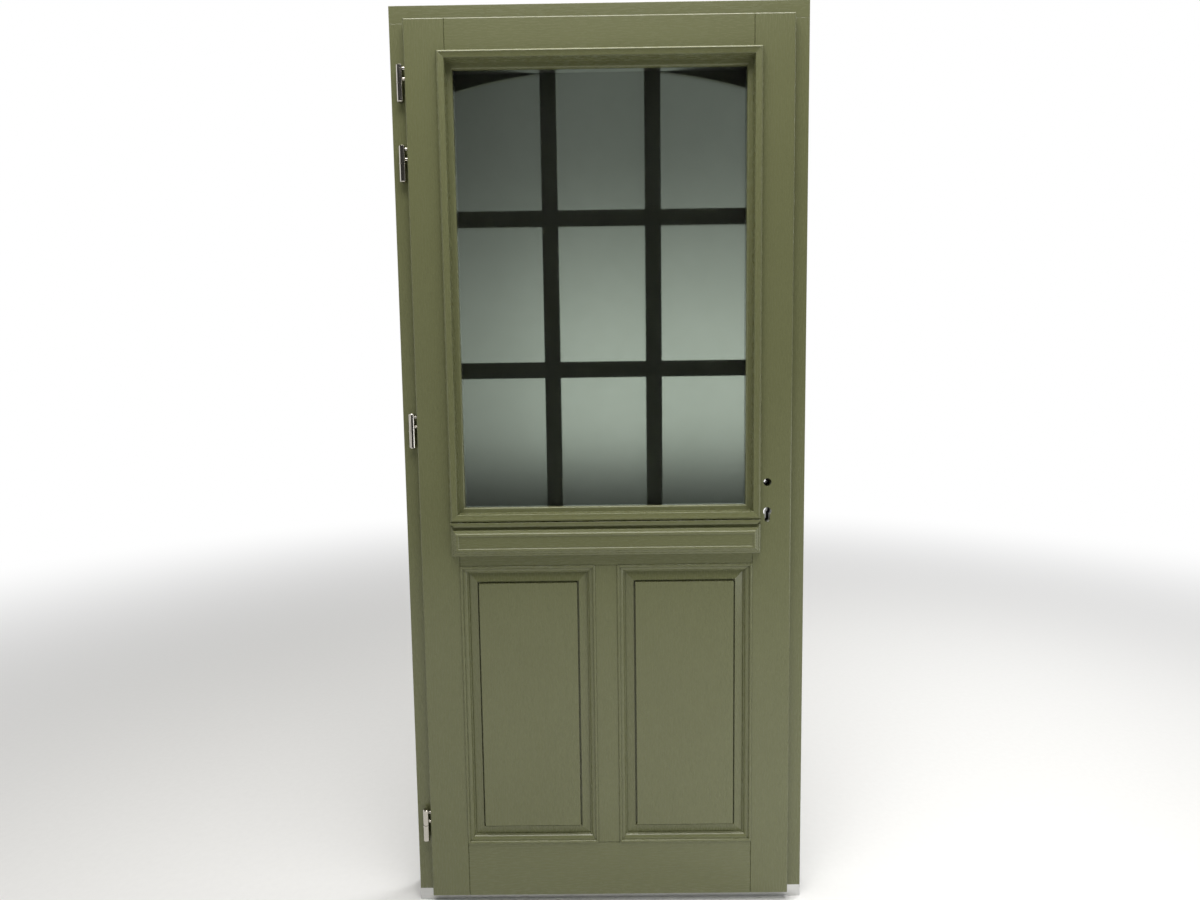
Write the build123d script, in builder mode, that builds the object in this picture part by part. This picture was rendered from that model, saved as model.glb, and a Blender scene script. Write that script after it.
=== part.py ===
from build123d import *
from math import radians, sin
import os

# Glazed entrance door in its frame, in millimetres.
# X runs across the doorway, Y away from the room, Z up from the underside of the threshold.

# Frame
frame_width = 960
frame_height = 2160
frame_depth = 64
jamb_face = 49
stop_width = 16
housing_depth = 10

# Fixing holes through the jambs
fixing_radius = 4
fixing_head_radius = 8
fixing_head_depth = 6
fixing_rise = 300
fixing_drop = 260

# Threshold extrusions
threshold_height = 30
tread_reach = 26
nose_height = 12
break_width = 8
extrusion_wall = 2.5

# Leaf and the gaps round it
leaf_thickness = 56
lip_width = 17
lip_thickness = 15
leaf_clearance = 4
lip_gap = 3
seal_gap = 3
threshold_lap = 6
threshold_clearance = 5
leaf_arris = 3

# Stiles, rails and muntin
stile_width = 92
top_rail_height = 92
lock_rail_height = 126
bottom_rail_height = 136
panel_opening_height = 704
muntin_width = 52
joint_chamfer = 1.8
glue_gap = 0.1

# Tenons of the rails
tenon_thickness = 16
tenon_length = 50
tenon_set_back = 24
top_tenon_height = 40
lock_tenon_height = 36
bottom_tenon_height = 78

# Panel grooves and raised panels
groove_width = 14
groove_depth = 16
movement_gap = 0.8
margin_depth = 12
bevel_width = 21
bevel_rise = 5
quirk_width = 4
quirk_depth = 7
field_drop = 2

# Mitred mouldings round the panels
moulding_width = 19.5
moulding_edge = 3
moulding_listel = 2.5
astragal_width = 6.5
astragal_edge = 1
astragal_sagitta = 2.2
moulding_quirk = 2
listel_step = 1
ovolo_bulge = 2

# Insulating glass unit
glass_set_back = 22
bedding_gap = 0.2
pane_thickness = 4
cavity = 16
pane_edge_gap = 3
spacer_inset = 3
spacer_width = 7

# Glazing beads
bead_cover = 18
bead_sight = 14
bead_lip_width = 5
bead_lip_low = 14
bead_lip_high = 8
bead_band_place = 2
bead_band_top = 4
bead_quirk_depth = 3
bead_quirk_height = 2.5
bead_crest = 24
bead_crest_setback = 6
bead_edge = 3
lip_sagitta = 1.6
band_sagitta = 1.2
crest_sagitta = 3.6
ovolo_sagitta = 3.4

# Outer stops, arched head and glazing bars
outer_sight = 5
arch_rise = 48
bar_width = 38
bar_chamfer = 3

# Planted moulding on the lock rail
plant_overlap = 18
plant_height = 72
plant_rise = 25
plant_edge = 3
plant_cove = 8
plant_cove_top = 15
plant_band = 5
plant_band_top = 17.5
plant_roll = 9
plant_field = 20
cove_sagitta = 2.6
roll_sagitta = 3.4

# Weather board, bottom seal and weather seal
board_end_gap = 22
board_height = 58
board_reach = 40
board_rise = 8
board_nose = 14
board_top = 8
board_sagitta = 9
drip_width = 6
drip_depth = 4
bottom_seal_end_gap = 7
bottom_seal_thickness = 8
bottom_seal_root = 6
bottom_seal_place = 14
seal_root_width = 4
seal_root_depth = 5
seal_lip_width = 9
rub_gap = 0.3

# Hinges
hinge_diameter = 15
knuckle_length = 40
washer_thickness = 2
washer_rim = 1
pin_diameter = 8
pin_floor = 5
pin_clearance = 0.05
hinge_offset = 12.5
hinge_tip_chamfer = 1.5
stem_diameter = 7
stem_inset = 8
stem_spacing = 23
stem_length = 30
top_hinge_drop = 139
second_hinge_drop = 317
third_hinge_drop = 933
bottom_hinge_rise = 182

# Mortise lock
handle_over_rail = 69
handle_backset = 40
handle_radius = 9.5
journal_radius = 8
cylinder_drop = 70
cylinder_radius = 8.5
cylinder_leg = 19.5
cylinder_leg_width = 10
cylinder_gap = 1.5
case_depth = 62
case_thickness = 15
case_wall = 1.5
case_above = 60
case_below = 55
case_gap = 0.3
faceplate_width = 20
faceplate_thickness = 3
faceplate_margin = 24
bolt_thickness = 11
bolt_gap = 0.3

# Follower, latch bolt and deadbolt
spindle_size = 8
journal_clearance = 0.05
hub_radius = 12
hub_play = 0.5
lobe_reach = 18.5
lobe_width = 6
lever_throw = 40
latch_rise = 34
latch_height = 28
latch_length = 28
latch_slope = 10
tail_radius = 3
carriage_thickness = 5
carriage_width = 8
carriage_hang = 21
carriage_gap = 0.8
deadbolt_rise = 33
deadbolt_height = 30
deadbolt_length = 42
deadbolt_round = 1.5

# Strike plate and its pockets in the jamb
strike_thickness = 3
strike_width = 24
strike_margin = 14
strike_window_gap = 1.5
pocket_depth = 24

# Places worked out from the sizes above
frame_half = frame_width / 2
frame_front = -frame_depth / 2
frame_back = frame_depth / 2
rebate_half = frame_half - jamb_face
rebate_top = frame_height - jamb_face
stop_half = rebate_half - stop_width
stop_top = rebate_top - stop_width
jamb_top = rebate_top + housing_depth

body_half = rebate_half - leaf_clearance
body_top = rebate_top - leaf_clearance
body_bottom = threshold_height + threshold_clearance
leaf_half = body_half + lip_width
leaf_top = body_top + lip_width
leaf_bottom = threshold_height - threshold_lap
lip_back = frame_front - lip_gap
leaf_front = lip_back - lip_thickness
leaf_back = leaf_front + leaf_thickness
leaf_middle = (leaf_front + leaf_back) / 2
stop_face = leaf_back + seal_gap

opening_half = leaf_half - stile_width
panel_low = leaf_bottom + bottom_rail_height
panel_high = panel_low + panel_opening_height
glaze_low = panel_high + lock_rail_height
glaze_high = leaf_top - top_rail_height
muntin_half = muntin_width / 2
panel_width = opening_half - muntin_half
panel_centre = (opening_half + muntin_half) / 2
panel_middle = (panel_low + panel_high) / 2
tongue_length = groove_depth - movement_gap
tongue_thickness = groove_width - 2 * glue_gap

glass_front = leaf_front + glass_set_back
cavity_front = glass_front + pane_thickness
cavity_back = cavity_front + cavity
glass_back = cavity_back + pane_thickness
glass_middle = (glaze_low + glaze_high) / 2
glass_width = 2 * (opening_half - pane_edge_gap)
glass_height = glaze_high - glaze_low - 2 * pane_edge_gap
sight_half = opening_half - outer_sight
sight_low = glaze_low + outer_sight
sight_high = glaze_high - outer_sight
arch_spring = sight_high - arch_rise
stop_front = glass_back + bedding_gap
stop_depth = leaf_back - stop_front
lap_depth = (stop_front + leaf_back) / 2
pane_width = (2 * sight_half - 2 * bar_width) / 3
pane_height = (sight_high - sight_low - 2 * bar_width) / 3
upright_place = (pane_width + bar_width) / 2
level_low = sight_low + pane_height + bar_width / 2
level_high = sight_high - pane_height - bar_width / 2

seal_half = (stop_half + rebate_half) / 2
seal_top = (stop_top + rebate_top) / 2
bottom_seal_middle = leaf_back - bottom_seal_place
bottom_seal_width = 2 * (body_half - bottom_seal_end_gap)
board_width = 2 * (body_half - board_end_gap)
plant_half = opening_half + plant_overlap
plant_edging = plant_cove + plant_band + plant_roll
plant_low = panel_high + plant_rise
plant_high = plant_low + plant_height

hinge_x = -leaf_half - hinge_offset
hinge_y = (leaf_front + lip_back) / 2
hinge_heights = [
    leaf_top - top_hinge_drop,
    leaf_top - second_hinge_drop,
    leaf_top - third_hinge_drop,
    leaf_bottom + bottom_hinge_rise,
]

handle_x = body_half - handle_backset
handle_z = glaze_low + handle_over_rail
cylinder_z = handle_z - cylinder_drop
case_top = handle_z + case_above
case_bottom = cylinder_z - case_below
case_height = case_top - case_bottom
case_middle = (case_top + case_bottom) / 2
case_front_face = body_half - faceplate_thickness
case_rear = case_front_face - case_depth
case_y_high = leaf_middle + case_thickness / 2
latch_z = handle_z + latch_rise
deadbolt_z = cylinder_z + deadbolt_rise
latch_back = body_half - latch_length
latch_throw = lobe_reach * sin(radians(lever_throw))
lobe_angle = 90 + lever_throw
carriage_front = handle_x - latch_throw - lobe_width / 2 - carriage_gap
strike_low = deadbolt_z - deadbolt_height / 2 - strike_margin
strike_high = latch_z + latch_height / 2 + strike_margin


def upright_plane(depth):
    """Plane at a depth, facing the room, with X to the right and Z up."""
    return Plane.XZ.offset(-depth)


def save(piece, label):
    """Label a finished piece and write it to its own file."""
    piece.label = label
    export_step(piece, f"parts/{label}.step")


def cut_panel_groove(x, z, width, height):
    """Cut the groove that takes the panels' tongues, as a slot at mid-thickness."""
    with BuildSketch(upright_plane(leaf_middle + groove_width / 2)) as slot:
        with Locations((x, z)):
            Rectangle(width, height)
    extrude(slot.sketch, amount=groove_width, mode=Mode.SUBTRACT)


def cut_bottom_seal_groove():
    """Cut the groove under the leaf that holds the bottom seal."""
    with BuildSketch(Plane.XY.offset(body_bottom)) as slot:
        with Locations((0, bottom_seal_middle)):
            Rectangle(bottom_seal_width, bottom_seal_thickness)
    extrude(slot.sketch, amount=bottom_seal_root, mode=Mode.SUBTRACT)


def draw_cylinder_hole(gap):
    """Draw the profile cylinder's outline, a round with a narrower leg, with a gap all round it."""
    with Locations((handle_x, cylinder_z)):
        Circle(cylinder_radius + gap)
    with Locations((handle_x, cylinder_z - cylinder_leg / 2)):
        Rectangle(cylinder_leg_width + 2 * gap, cylinder_leg)
    with Locations((handle_x, cylinder_z - cylinder_leg)):
        Circle(cylinder_leg_width / 2 + gap)


def draw_seal_band(band):
    """Draw a band of the given width up both jambs and across the head."""
    outer_half = seal_half + band / 2
    inner_half = seal_half - band / 2
    outer_top = seal_top + band / 2
    inner_top = seal_top - band / 2
    with BuildLine() as outline:
        Polyline(
            (-outer_half, threshold_height),
            (-outer_half, outer_top),
            (outer_half, outer_top),
            (outer_half, threshold_height),
            (inner_half, threshold_height),
            (inner_half, inner_top),
            (-inner_half, inner_top),
            (-inner_half, threshold_height),
            close=True,
        )
    make_face(outline.edges())


def cut_seal_groove():
    """Cut the groove in the stop that holds the weather seal's root."""
    with BuildSketch(upright_plane(stop_face + seal_root_depth)) as slot:
        draw_seal_band(seal_root_width)
    extrude(slot.sketch, amount=seal_root_depth, mode=Mode.SUBTRACT)


def mitred_run(draw_profile, middle, inward, outward, length, reach):
    """Extrude a moulding's profile along one side of an opening and cut both ends to a mitre.

    The profile's x runs from the opening's edge inward, and its y runs out of the leaf's face.
    """
    run = inward.cross(outward)
    with BuildPart() as moulding:
        with BuildSketch(Plane(origin=middle, x_dir=inward, z_dir=run)):
            draw_profile()
        extrude(amount=length / 2 + reach, both=True)
        for end in (run, -run):
            corner = middle + end * (length / 2)
            split(bisect_by=Plane(origin=corner, z_dir=end + inward), keep=Keep.BOTTOM)
    return moulding.part


def mitred_sides(x_low, x_high, z_low, z_high, depth):
    """Give each side of an upright opening: its name, its middle, its inward way and its length."""
    x_middle = (x_low + x_high) / 2
    z_middle = (z_low + z_high) / 2
    return [
        ("left", Vector(x_low, depth, z_middle), Vector(1, 0, 0), z_high - z_low),
        ("right", Vector(x_high, depth, z_middle), Vector(-1, 0, 0), z_high - z_low),
        ("bottom", Vector(x_middle, depth, z_low), Vector(0, 0, 1), x_high - x_low),
        ("top", Vector(x_middle, depth, z_high), Vector(0, 0, -1), x_high - x_low),
    ]


def draw_panel_moulding():
    """Draw the panel moulding: a raised astragal, a quirk, an ovolo falling inward and a thin listel."""
    listel = moulding_width - moulding_listel
    low = moulding_edge - margin_depth
    astragal_end = (astragal_width, astragal_edge)
    ovolo_start = (astragal_width, -moulding_quirk)
    ovolo_end = (listel, low + listel_step)
    with BuildLine() as outline:
        Polyline((0, astragal_edge), (0, -margin_depth), (moulding_width, -margin_depth))
        Polyline((moulding_width, -margin_depth), (moulding_width, low), (listel, low), ovolo_end)
        SagittaArc(ovolo_end, ovolo_start, -ovolo_bulge)
        Line(ovolo_start, astragal_end)
        SagittaArc(astragal_end, (0, astragal_edge), -astragal_sagitta)
    make_face(outline.edges())


def draw_glazing_bead():
    """Draw the glazing bead: a round lip at the glass, a band, a quirk, a crest roll and an ovolo."""
    seat = bedding_gap - glass_set_back
    lip_start = (bead_sight, -bead_lip_low)
    lip_end = (bead_sight - bead_lip_width, -bead_lip_high)
    band_end = (bead_band_place, bead_band_top)
    quirk_place = bead_band_place - bead_quirk_depth
    quirk_top = bead_band_top + bead_quirk_height
    roll_start = (bead_band_place, quirk_top)
    crest = (-bead_crest_setback, bead_crest)
    outer_edge = (-bead_cover, bead_edge)
    with BuildLine() as outline:
        Polyline((0, 0), (0, seat), (bead_sight, seat), lip_start)
        SagittaArc(lip_start, lip_end, -lip_sagitta)
        SagittaArc(lip_end, band_end, band_sagitta)
        Polyline(band_end, (quirk_place, bead_band_top), (quirk_place, quirk_top), roll_start)
        SagittaArc(roll_start, crest, -crest_sagitta)
        SagittaArc(crest, outer_edge, -ovolo_sagitta)
        Polyline(outer_edge, (-bead_cover, 0), (0, 0))
    make_face(outline.edges())


def draw_planted_edge():
    """Draw the planted moulding's edge: a cove, a band and a roll that ends at the flat field."""
    cove_end = (plant_cove, plant_cove_top)
    band_end = (plant_cove + plant_band, plant_band_top)
    roll_end = (plant_edging, plant_field)
    with BuildLine() as outline:
        Polyline((0, plant_edge), (0, 0), (plant_edging, 0), roll_end)
        SagittaArc(roll_end, band_end, -roll_sagitta)
        Line(band_end, cove_end)
        SagittaArc(cove_end, (0, plant_edge), cove_sagitta)
    make_face(outline.edges())


os.makedirs("parts", exist_ok=True)

# Frame head, housed over the jambs
with BuildPart() as frame_head:
    with BuildSketch(Plane.YZ):
        with BuildLine():
            Polyline(
                (frame_front, rebate_top),
                (frame_front, jamb_top),
                (frame_back, jamb_top),
                (frame_back, stop_top),
                (stop_face, stop_top),
                (stop_face, rebate_top),
                close=True,
            )
        make_face()
    extrude(amount=rebate_half, both=True)
    with BuildSketch(Plane.YZ):
        with Locations((0, (jamb_top + frame_height) / 2)):
            Rectangle(frame_depth, frame_height - jamb_top)
    extrude(amount=frame_half, both=True)
    cut_seal_groove()
save(frame_head.part, "frame_head")

# Jambs, with fixing holes, hinge stem holes on the left and lock pockets on the right
for side, side_name in ((-1, "left"), (1, "right")):
    with BuildPart() as jamb:
        with BuildSketch(Plane.XY.offset(threshold_height)):
            with Locations((side * (rebate_half + frame_half) / 2, 0)):
                Rectangle(jamb_face, frame_depth)
        extrude(amount=jamb_top - threshold_height)
        with BuildSketch(Plane.XY.offset(threshold_height)):
            with Locations((side * (stop_half + rebate_half) / 2, (stop_face + frame_back) / 2)):
                Rectangle(stop_width, frame_back - stop_face)
        extrude(amount=stop_top - threshold_height)
        cut_seal_groove()
        fixing_y = (frame_front + stop_face) / 2
        for rise in (fixing_rise, frame_height - fixing_drop):
            with Locations(Plane(origin=(side * rebate_half, fixing_y, rise), z_dir=(-side, 0, 0))):
                CounterBoreHole(fixing_radius, fixing_head_radius, fixing_head_depth)
        if side < 0:
            for hinge_z in hinge_heights:
                low_stem = hinge_z - washer_thickness / 2 - knuckle_length + stem_inset
                with BuildSketch(upright_plane(frame_front + stem_length)):
                    with Locations((hinge_x, low_stem), (hinge_x, low_stem + stem_spacing)):
                        Circle(stem_diameter / 2 + pin_clearance)
                extrude(amount=stem_length, mode=Mode.SUBTRACT)
        else:
            with BuildSketch(Plane.YZ.offset(rebate_half)):
                with Locations((leaf_middle, (strike_low + strike_high) / 2)):
                    Rectangle(strike_width, strike_high - strike_low)
            extrude(amount=strike_thickness, mode=Mode.SUBTRACT)
            with BuildSketch(Plane.YZ.offset(rebate_half)):
                with Locations((leaf_middle, latch_z)):
                    Rectangle(bolt_thickness + 2 * strike_window_gap, latch_height + 2 * strike_window_gap)
                with Locations((leaf_middle, deadbolt_z)):
                    Rectangle(bolt_thickness + 2 * strike_window_gap, deadbolt_height + 2 * strike_window_gap)
            extrude(amount=pocket_depth, mode=Mode.SUBTRACT)
    save(jamb.part, f"frame_jamb_{side_name}")

# Strike plate, let into the right jamb
with BuildPart() as strike_plate:
    with BuildSketch(Plane.YZ.offset(rebate_half)):
        with Locations((leaf_middle, (strike_low + strike_high) / 2)):
            Rectangle(strike_width, strike_high - strike_low)
        with Locations((leaf_middle, latch_z)):
            Rectangle(
                bolt_thickness + 2 * strike_window_gap,
                latch_height + 2 * strike_window_gap,
                mode=Mode.SUBTRACT,
            )
        with Locations((leaf_middle, deadbolt_z)):
            Rectangle(
                bolt_thickness + 2 * strike_window_gap,
                deadbolt_height + 2 * strike_window_gap,
                mode=Mode.SUBTRACT,
            )
    extrude(amount=strike_thickness)
save(strike_plate.part, "strike_plate")

# Threshold: an inner and an outer hollow extrusion, held apart by an insulating break
inner_end = -break_width / 2
outer_start = break_width / 2
tread_end = frame_back + tread_reach
with BuildPart() as threshold:
    with BuildSketch(Plane.YZ):
        with BuildLine():
            Polyline(
                (frame_front, 0),
                (inner_end, 0),
                (inner_end, threshold_height),
                (frame_front, threshold_height),
                close=True,
            )
        make_face()
        with BuildLine():
            Polyline(
                (outer_start, 0),
                (tread_end, 0),
                (tread_end, nose_height),
                (frame_back, threshold_height),
                (outer_start, threshold_height),
                close=True,
            )
        make_face()
        offset(amount=-extrusion_wall, kind=Kind.INTERSECTION, mode=Mode.SUBTRACT)
    extrude(amount=frame_half, both=True)
save(threshold.part, "threshold")

with BuildPart() as threshold_break:
    with BuildSketch(Plane.YZ):
        with Locations((0, threshold_height / 2)):
            Rectangle(break_width, threshold_height)
            Rectangle(
                break_width - 2 * extrusion_wall,
                threshold_height - 2 * extrusion_wall,
                mode=Mode.SUBTRACT,
            )
    extrude(amount=frame_half, both=True)
save(threshold_break.part, "threshold_break")

# Weather seal: a root in the stop's groove and a soft lip towards the leaf
with BuildPart() as weather_seal:
    with BuildSketch(upright_plane(stop_face + seal_root_depth)):
        draw_seal_band(seal_root_width)
    extrude(amount=seal_root_depth)
    with BuildSketch(upright_plane(stop_face)):
        draw_seal_band(seal_lip_width)
    extrude(amount=seal_gap - rub_gap)
save(weather_seal.part, "weather_seal")

# Hinges: a frame half below and a leaf half above, each with two stems
knuckle_radius = hinge_diameter / 2
for number, hinge_z in enumerate(hinge_heights, start=1):
    frame_low = hinge_z - washer_thickness / 2 - knuckle_length
    frame_stem = frame_low + stem_inset
    leaf_low = hinge_z + washer_thickness / 2 + rub_gap
    leaf_high = leaf_low + knuckle_length - rub_gap
    leaf_stem = leaf_high - stem_inset
    with BuildPart() as frame_half_hinge:
        with BuildSketch(Plane.XY.offset(frame_low)):
            with Locations((hinge_x, hinge_y)):
                Circle(knuckle_radius)
        extrude(amount=knuckle_length)
        chamfer(frame_half_hinge.faces().sort_by(Axis.Z)[0].edges(), length=hinge_tip_chamfer)
        with BuildSketch(upright_plane(frame_front + stem_length)):
            with Locations((hinge_x, frame_stem), (hinge_x, frame_stem + stem_spacing)):
                Circle(stem_diameter / 2)
        extrude(amount=frame_front + stem_length - hinge_y)
        with BuildSketch(Plane.XY.offset(frame_low + pin_floor)):
            with Locations((hinge_x, hinge_y)):
                Circle(pin_diameter / 2 + pin_clearance)
        extrude(amount=knuckle_length, mode=Mode.SUBTRACT)
    save(frame_half_hinge.part, f"hinge_{number}_frame_half")

    with BuildPart() as leaf_half_hinge:
        with BuildSketch(Plane.XY.offset(leaf_low)):
            with Locations((hinge_x, hinge_y)):
                Circle(knuckle_radius)
        extrude(amount=leaf_high - leaf_low)
        chamfer(leaf_half_hinge.faces().sort_by(Axis.Z)[-1].edges(), length=hinge_tip_chamfer)
        with BuildSketch(Plane.YZ.offset(hinge_x)):
            with Locations((hinge_y, leaf_stem), (hinge_y, leaf_stem - stem_spacing)):
                Circle(stem_diameter / 2)
        extrude(amount=hinge_offset + stem_length)
        with BuildSketch(Plane.XY.offset(leaf_high - pin_floor)):
            with Locations((hinge_x, hinge_y)):
                Circle(pin_diameter / 2 + pin_clearance)
        extrude(amount=-knuckle_length, mode=Mode.SUBTRACT)
    save(leaf_half_hinge.part, f"hinge_{number}_leaf_half")

with BuildPart() as hinge_pins:
    for hinge_z in hinge_heights:
        pin_low = hinge_z - washer_thickness / 2 - knuckle_length + pin_floor
        with BuildSketch(Plane.XY.offset(pin_low)):
            with Locations((hinge_x, hinge_y)):
                Circle(pin_diameter / 2)
        extrude(amount=2 * (knuckle_length - pin_floor) + washer_thickness - rub_gap)
save(hinge_pins.part, "hinge_pins")

with BuildPart() as hinge_washers:
    for hinge_z in hinge_heights:
        with BuildSketch(Plane.XY.offset(hinge_z - washer_thickness / 2)):
            with Locations((hinge_x, hinge_y)):
                Circle(knuckle_radius + washer_rim)
                Circle(pin_diameter / 2 + pin_clearance, mode=Mode.SUBTRACT)
        extrude(amount=washer_thickness)
save(hinge_washers.part, "hinge_washers")

# Stiles: full height, with a lip round the outside that laps the frame
tenon_places = [
    (leaf_bottom + bottom_rail_height - tenon_set_back - bottom_tenon_height / 2, bottom_tenon_height),
    (panel_high + tenon_set_back + lock_tenon_height / 2, lock_tenon_height),
    (glaze_high + tenon_set_back / 2 + top_tenon_height / 2, top_tenon_height),
]
for side, side_name in ((-1, "left"), (1, "right")):
    with BuildPart() as stile:
        with BuildSketch(Plane.XY.offset(leaf_bottom)):
            with BuildLine():
                Polyline(
                    (side * opening_half, leaf_front),
                    (side * leaf_half, leaf_front),
                    (side * leaf_half, lip_back),
                    (side * body_half, lip_back),
                    (side * body_half, leaf_back),
                    (side * opening_half, leaf_back),
                    close=True,
                )
            make_face()
        extrude(amount=leaf_top - leaf_bottom)
        for level, height in ((leaf_bottom, body_bottom - leaf_bottom), (body_top, leaf_top - body_top)):
            with BuildSketch(Plane.XY.offset(level)):
                with Locations((side * (opening_half + leaf_half) / 2, (lip_back + leaf_back) / 2)):
                    Rectangle(stile_width, leaf_back - lip_back)
            extrude(amount=height, mode=Mode.SUBTRACT)
        upright_arris = stile.edges().sort_by_distance((side * leaf_half, leaf_front, panel_middle))[0]
        top_arris = stile.edges().sort_by_distance((side * (leaf_half - lip_width), leaf_front, leaf_top))[0]
        fillet([upright_arris, top_arris], radius=leaf_arris)
        cut_panel_groove(
            side * (opening_half + groove_depth / 2),
            panel_middle,
            groove_depth,
            panel_opening_height + 2 * groove_depth,
        )
        for tenon_z, tenon_height in tenon_places:
            with BuildSketch(Plane.YZ.offset(side * opening_half)):
                with Locations((leaf_middle, tenon_z)):
                    Rectangle(tenon_thickness + 2 * glue_gap, tenon_height + 2 * glue_gap)
            extrude(amount=side * (tenon_length + glue_gap), mode=Mode.SUBTRACT)
        cut_bottom_seal_groove()
        if side < 0:
            for hinge_z in hinge_heights:
                stem_high = hinge_z + washer_thickness / 2 + knuckle_length - stem_inset
                with BuildSketch(Plane.YZ.offset(-leaf_half)):
                    with Locations((hinge_y, stem_high), (hinge_y, stem_high - stem_spacing)):
                        Circle(stem_diameter / 2 + pin_clearance)
                extrude(amount=stem_length, mode=Mode.SUBTRACT)
        else:
            with BuildSketch(Plane.YZ.offset(case_rear - case_gap)):
                with Locations((leaf_middle, case_middle)):
                    Rectangle(case_thickness + 2 * case_gap, case_height + 2 * case_gap)
            extrude(amount=case_depth + faceplate_thickness + case_gap, mode=Mode.SUBTRACT)
            with BuildSketch(Plane.YZ.offset(case_front_face)):
                with Locations((leaf_middle, case_middle)):
                    Rectangle(faceplate_width, case_height + 2 * faceplate_margin)
            extrude(amount=faceplate_thickness, mode=Mode.SUBTRACT)
            with BuildSketch(upright_plane(leaf_back)):
                with Locations((handle_x, handle_z)):
                    Circle(handle_radius)
                draw_cylinder_hole(cylinder_gap)
            extrude(amount=leaf_thickness, mode=Mode.SUBTRACT)
    save(stile.part, f"stile_{side_name}")

# Rails, tenoned into the stiles
with BuildPart() as top_rail:
    with BuildSketch(Plane.YZ):
        with BuildLine():
            Polyline(
                (leaf_front, glaze_high),
                (leaf_front, leaf_top),
                (lip_back, leaf_top),
                (lip_back, body_top),
                (leaf_back, body_top),
                (leaf_back, glaze_high),
                close=True,
            )
        make_face()
    extrude(amount=opening_half, both=True)
    fillet(top_rail.edges().sort_by_distance((0, leaf_front, leaf_top))[0], radius=leaf_arris)
    for end in (-opening_half, opening_half):
        for face in (leaf_front, leaf_back):
            joint_edge = top_rail.edges().sort_by_distance((end, face, glaze_high + tenon_set_back))[0]
            chamfer(joint_edge, length=joint_chamfer)
    with BuildSketch(Plane.YZ):
        with Locations((leaf_middle, tenon_places[2][0])):
            Rectangle(tenon_thickness, top_tenon_height)
    extrude(amount=opening_half + tenon_length, both=True)
save(top_rail.part, "top_rail")

with BuildPart() as lock_rail:
    with BuildSketch(Plane.YZ):
        with Locations((leaf_middle, (panel_high + glaze_low) / 2)):
            Rectangle(leaf_thickness, lock_rail_height)
    extrude(amount=opening_half, both=True)
    for end in (-opening_half, opening_half):
        for face in (leaf_front, leaf_back):
            joint_edge = lock_rail.edges().sort_by_distance((end, face, panel_high + tenon_set_back))[0]
            chamfer(joint_edge, length=joint_chamfer)
    cut_panel_groove(0, panel_high + groove_depth / 2, 2 * opening_half, groove_depth)
    with BuildSketch(Plane.YZ):
        with Locations((leaf_middle, tenon_places[1][0])):
            Rectangle(tenon_thickness, lock_tenon_height)
    extrude(amount=opening_half + tenon_length, both=True)
save(lock_rail.part, "lock_rail")

with BuildPart() as bottom_rail:
    with BuildSketch(Plane.YZ):
        with BuildLine():
            Polyline(
                (leaf_front, panel_low),
                (leaf_front, leaf_bottom),
                (lip_back, leaf_bottom),
                (lip_back, body_bottom),
                (leaf_back, body_bottom),
                (leaf_back, panel_low),
                close=True,
            )
        make_face()
    extrude(amount=opening_half, both=True)
    for end in (-opening_half, opening_half):
        for face in (leaf_front, leaf_back):
            joint_edge = bottom_rail.edges().sort_by_distance((end, face, panel_low - tenon_set_back))[0]
            chamfer(joint_edge, length=joint_chamfer)
    cut_panel_groove(0, panel_low - groove_depth / 2, 2 * opening_half, groove_depth)
    cut_bottom_seal_groove()
    with BuildSketch(Plane.YZ):
        with Locations((leaf_middle, tenon_places[0][0])):
            Rectangle(tenon_thickness, bottom_tenon_height)
    extrude(amount=opening_half + tenon_length, both=True)
save(bottom_rail.part, "bottom_rail")

# Muntin between the panels, with stub tenons in the rails' grooves
with BuildPart() as muntin:
    with BuildSketch(upright_plane(leaf_back)):
        with Locations((0, panel_middle)):
            Rectangle(muntin_width, panel_opening_height)
    extrude(amount=leaf_thickness)
    for end in (panel_low, panel_high):
        for face in (leaf_front, leaf_back):
            joint_edge = muntin.edges().sort_by_distance((0, face, end))[0]
            chamfer(joint_edge, length=joint_chamfer)
    for side in (-1, 1):
        groove_x = side * (muntin_half - groove_depth / 2)
        cut_panel_groove(groove_x, panel_middle, groove_depth, panel_opening_height)
    with BuildSketch(upright_plane(leaf_middle + tongue_thickness / 2)):
        with Locations((0, panel_middle)):
            Rectangle(muntin_width - 2 * groove_depth, panel_opening_height + 2 * tongue_length)
    extrude(amount=tongue_thickness)
save(muntin.part, "muntin")

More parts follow.
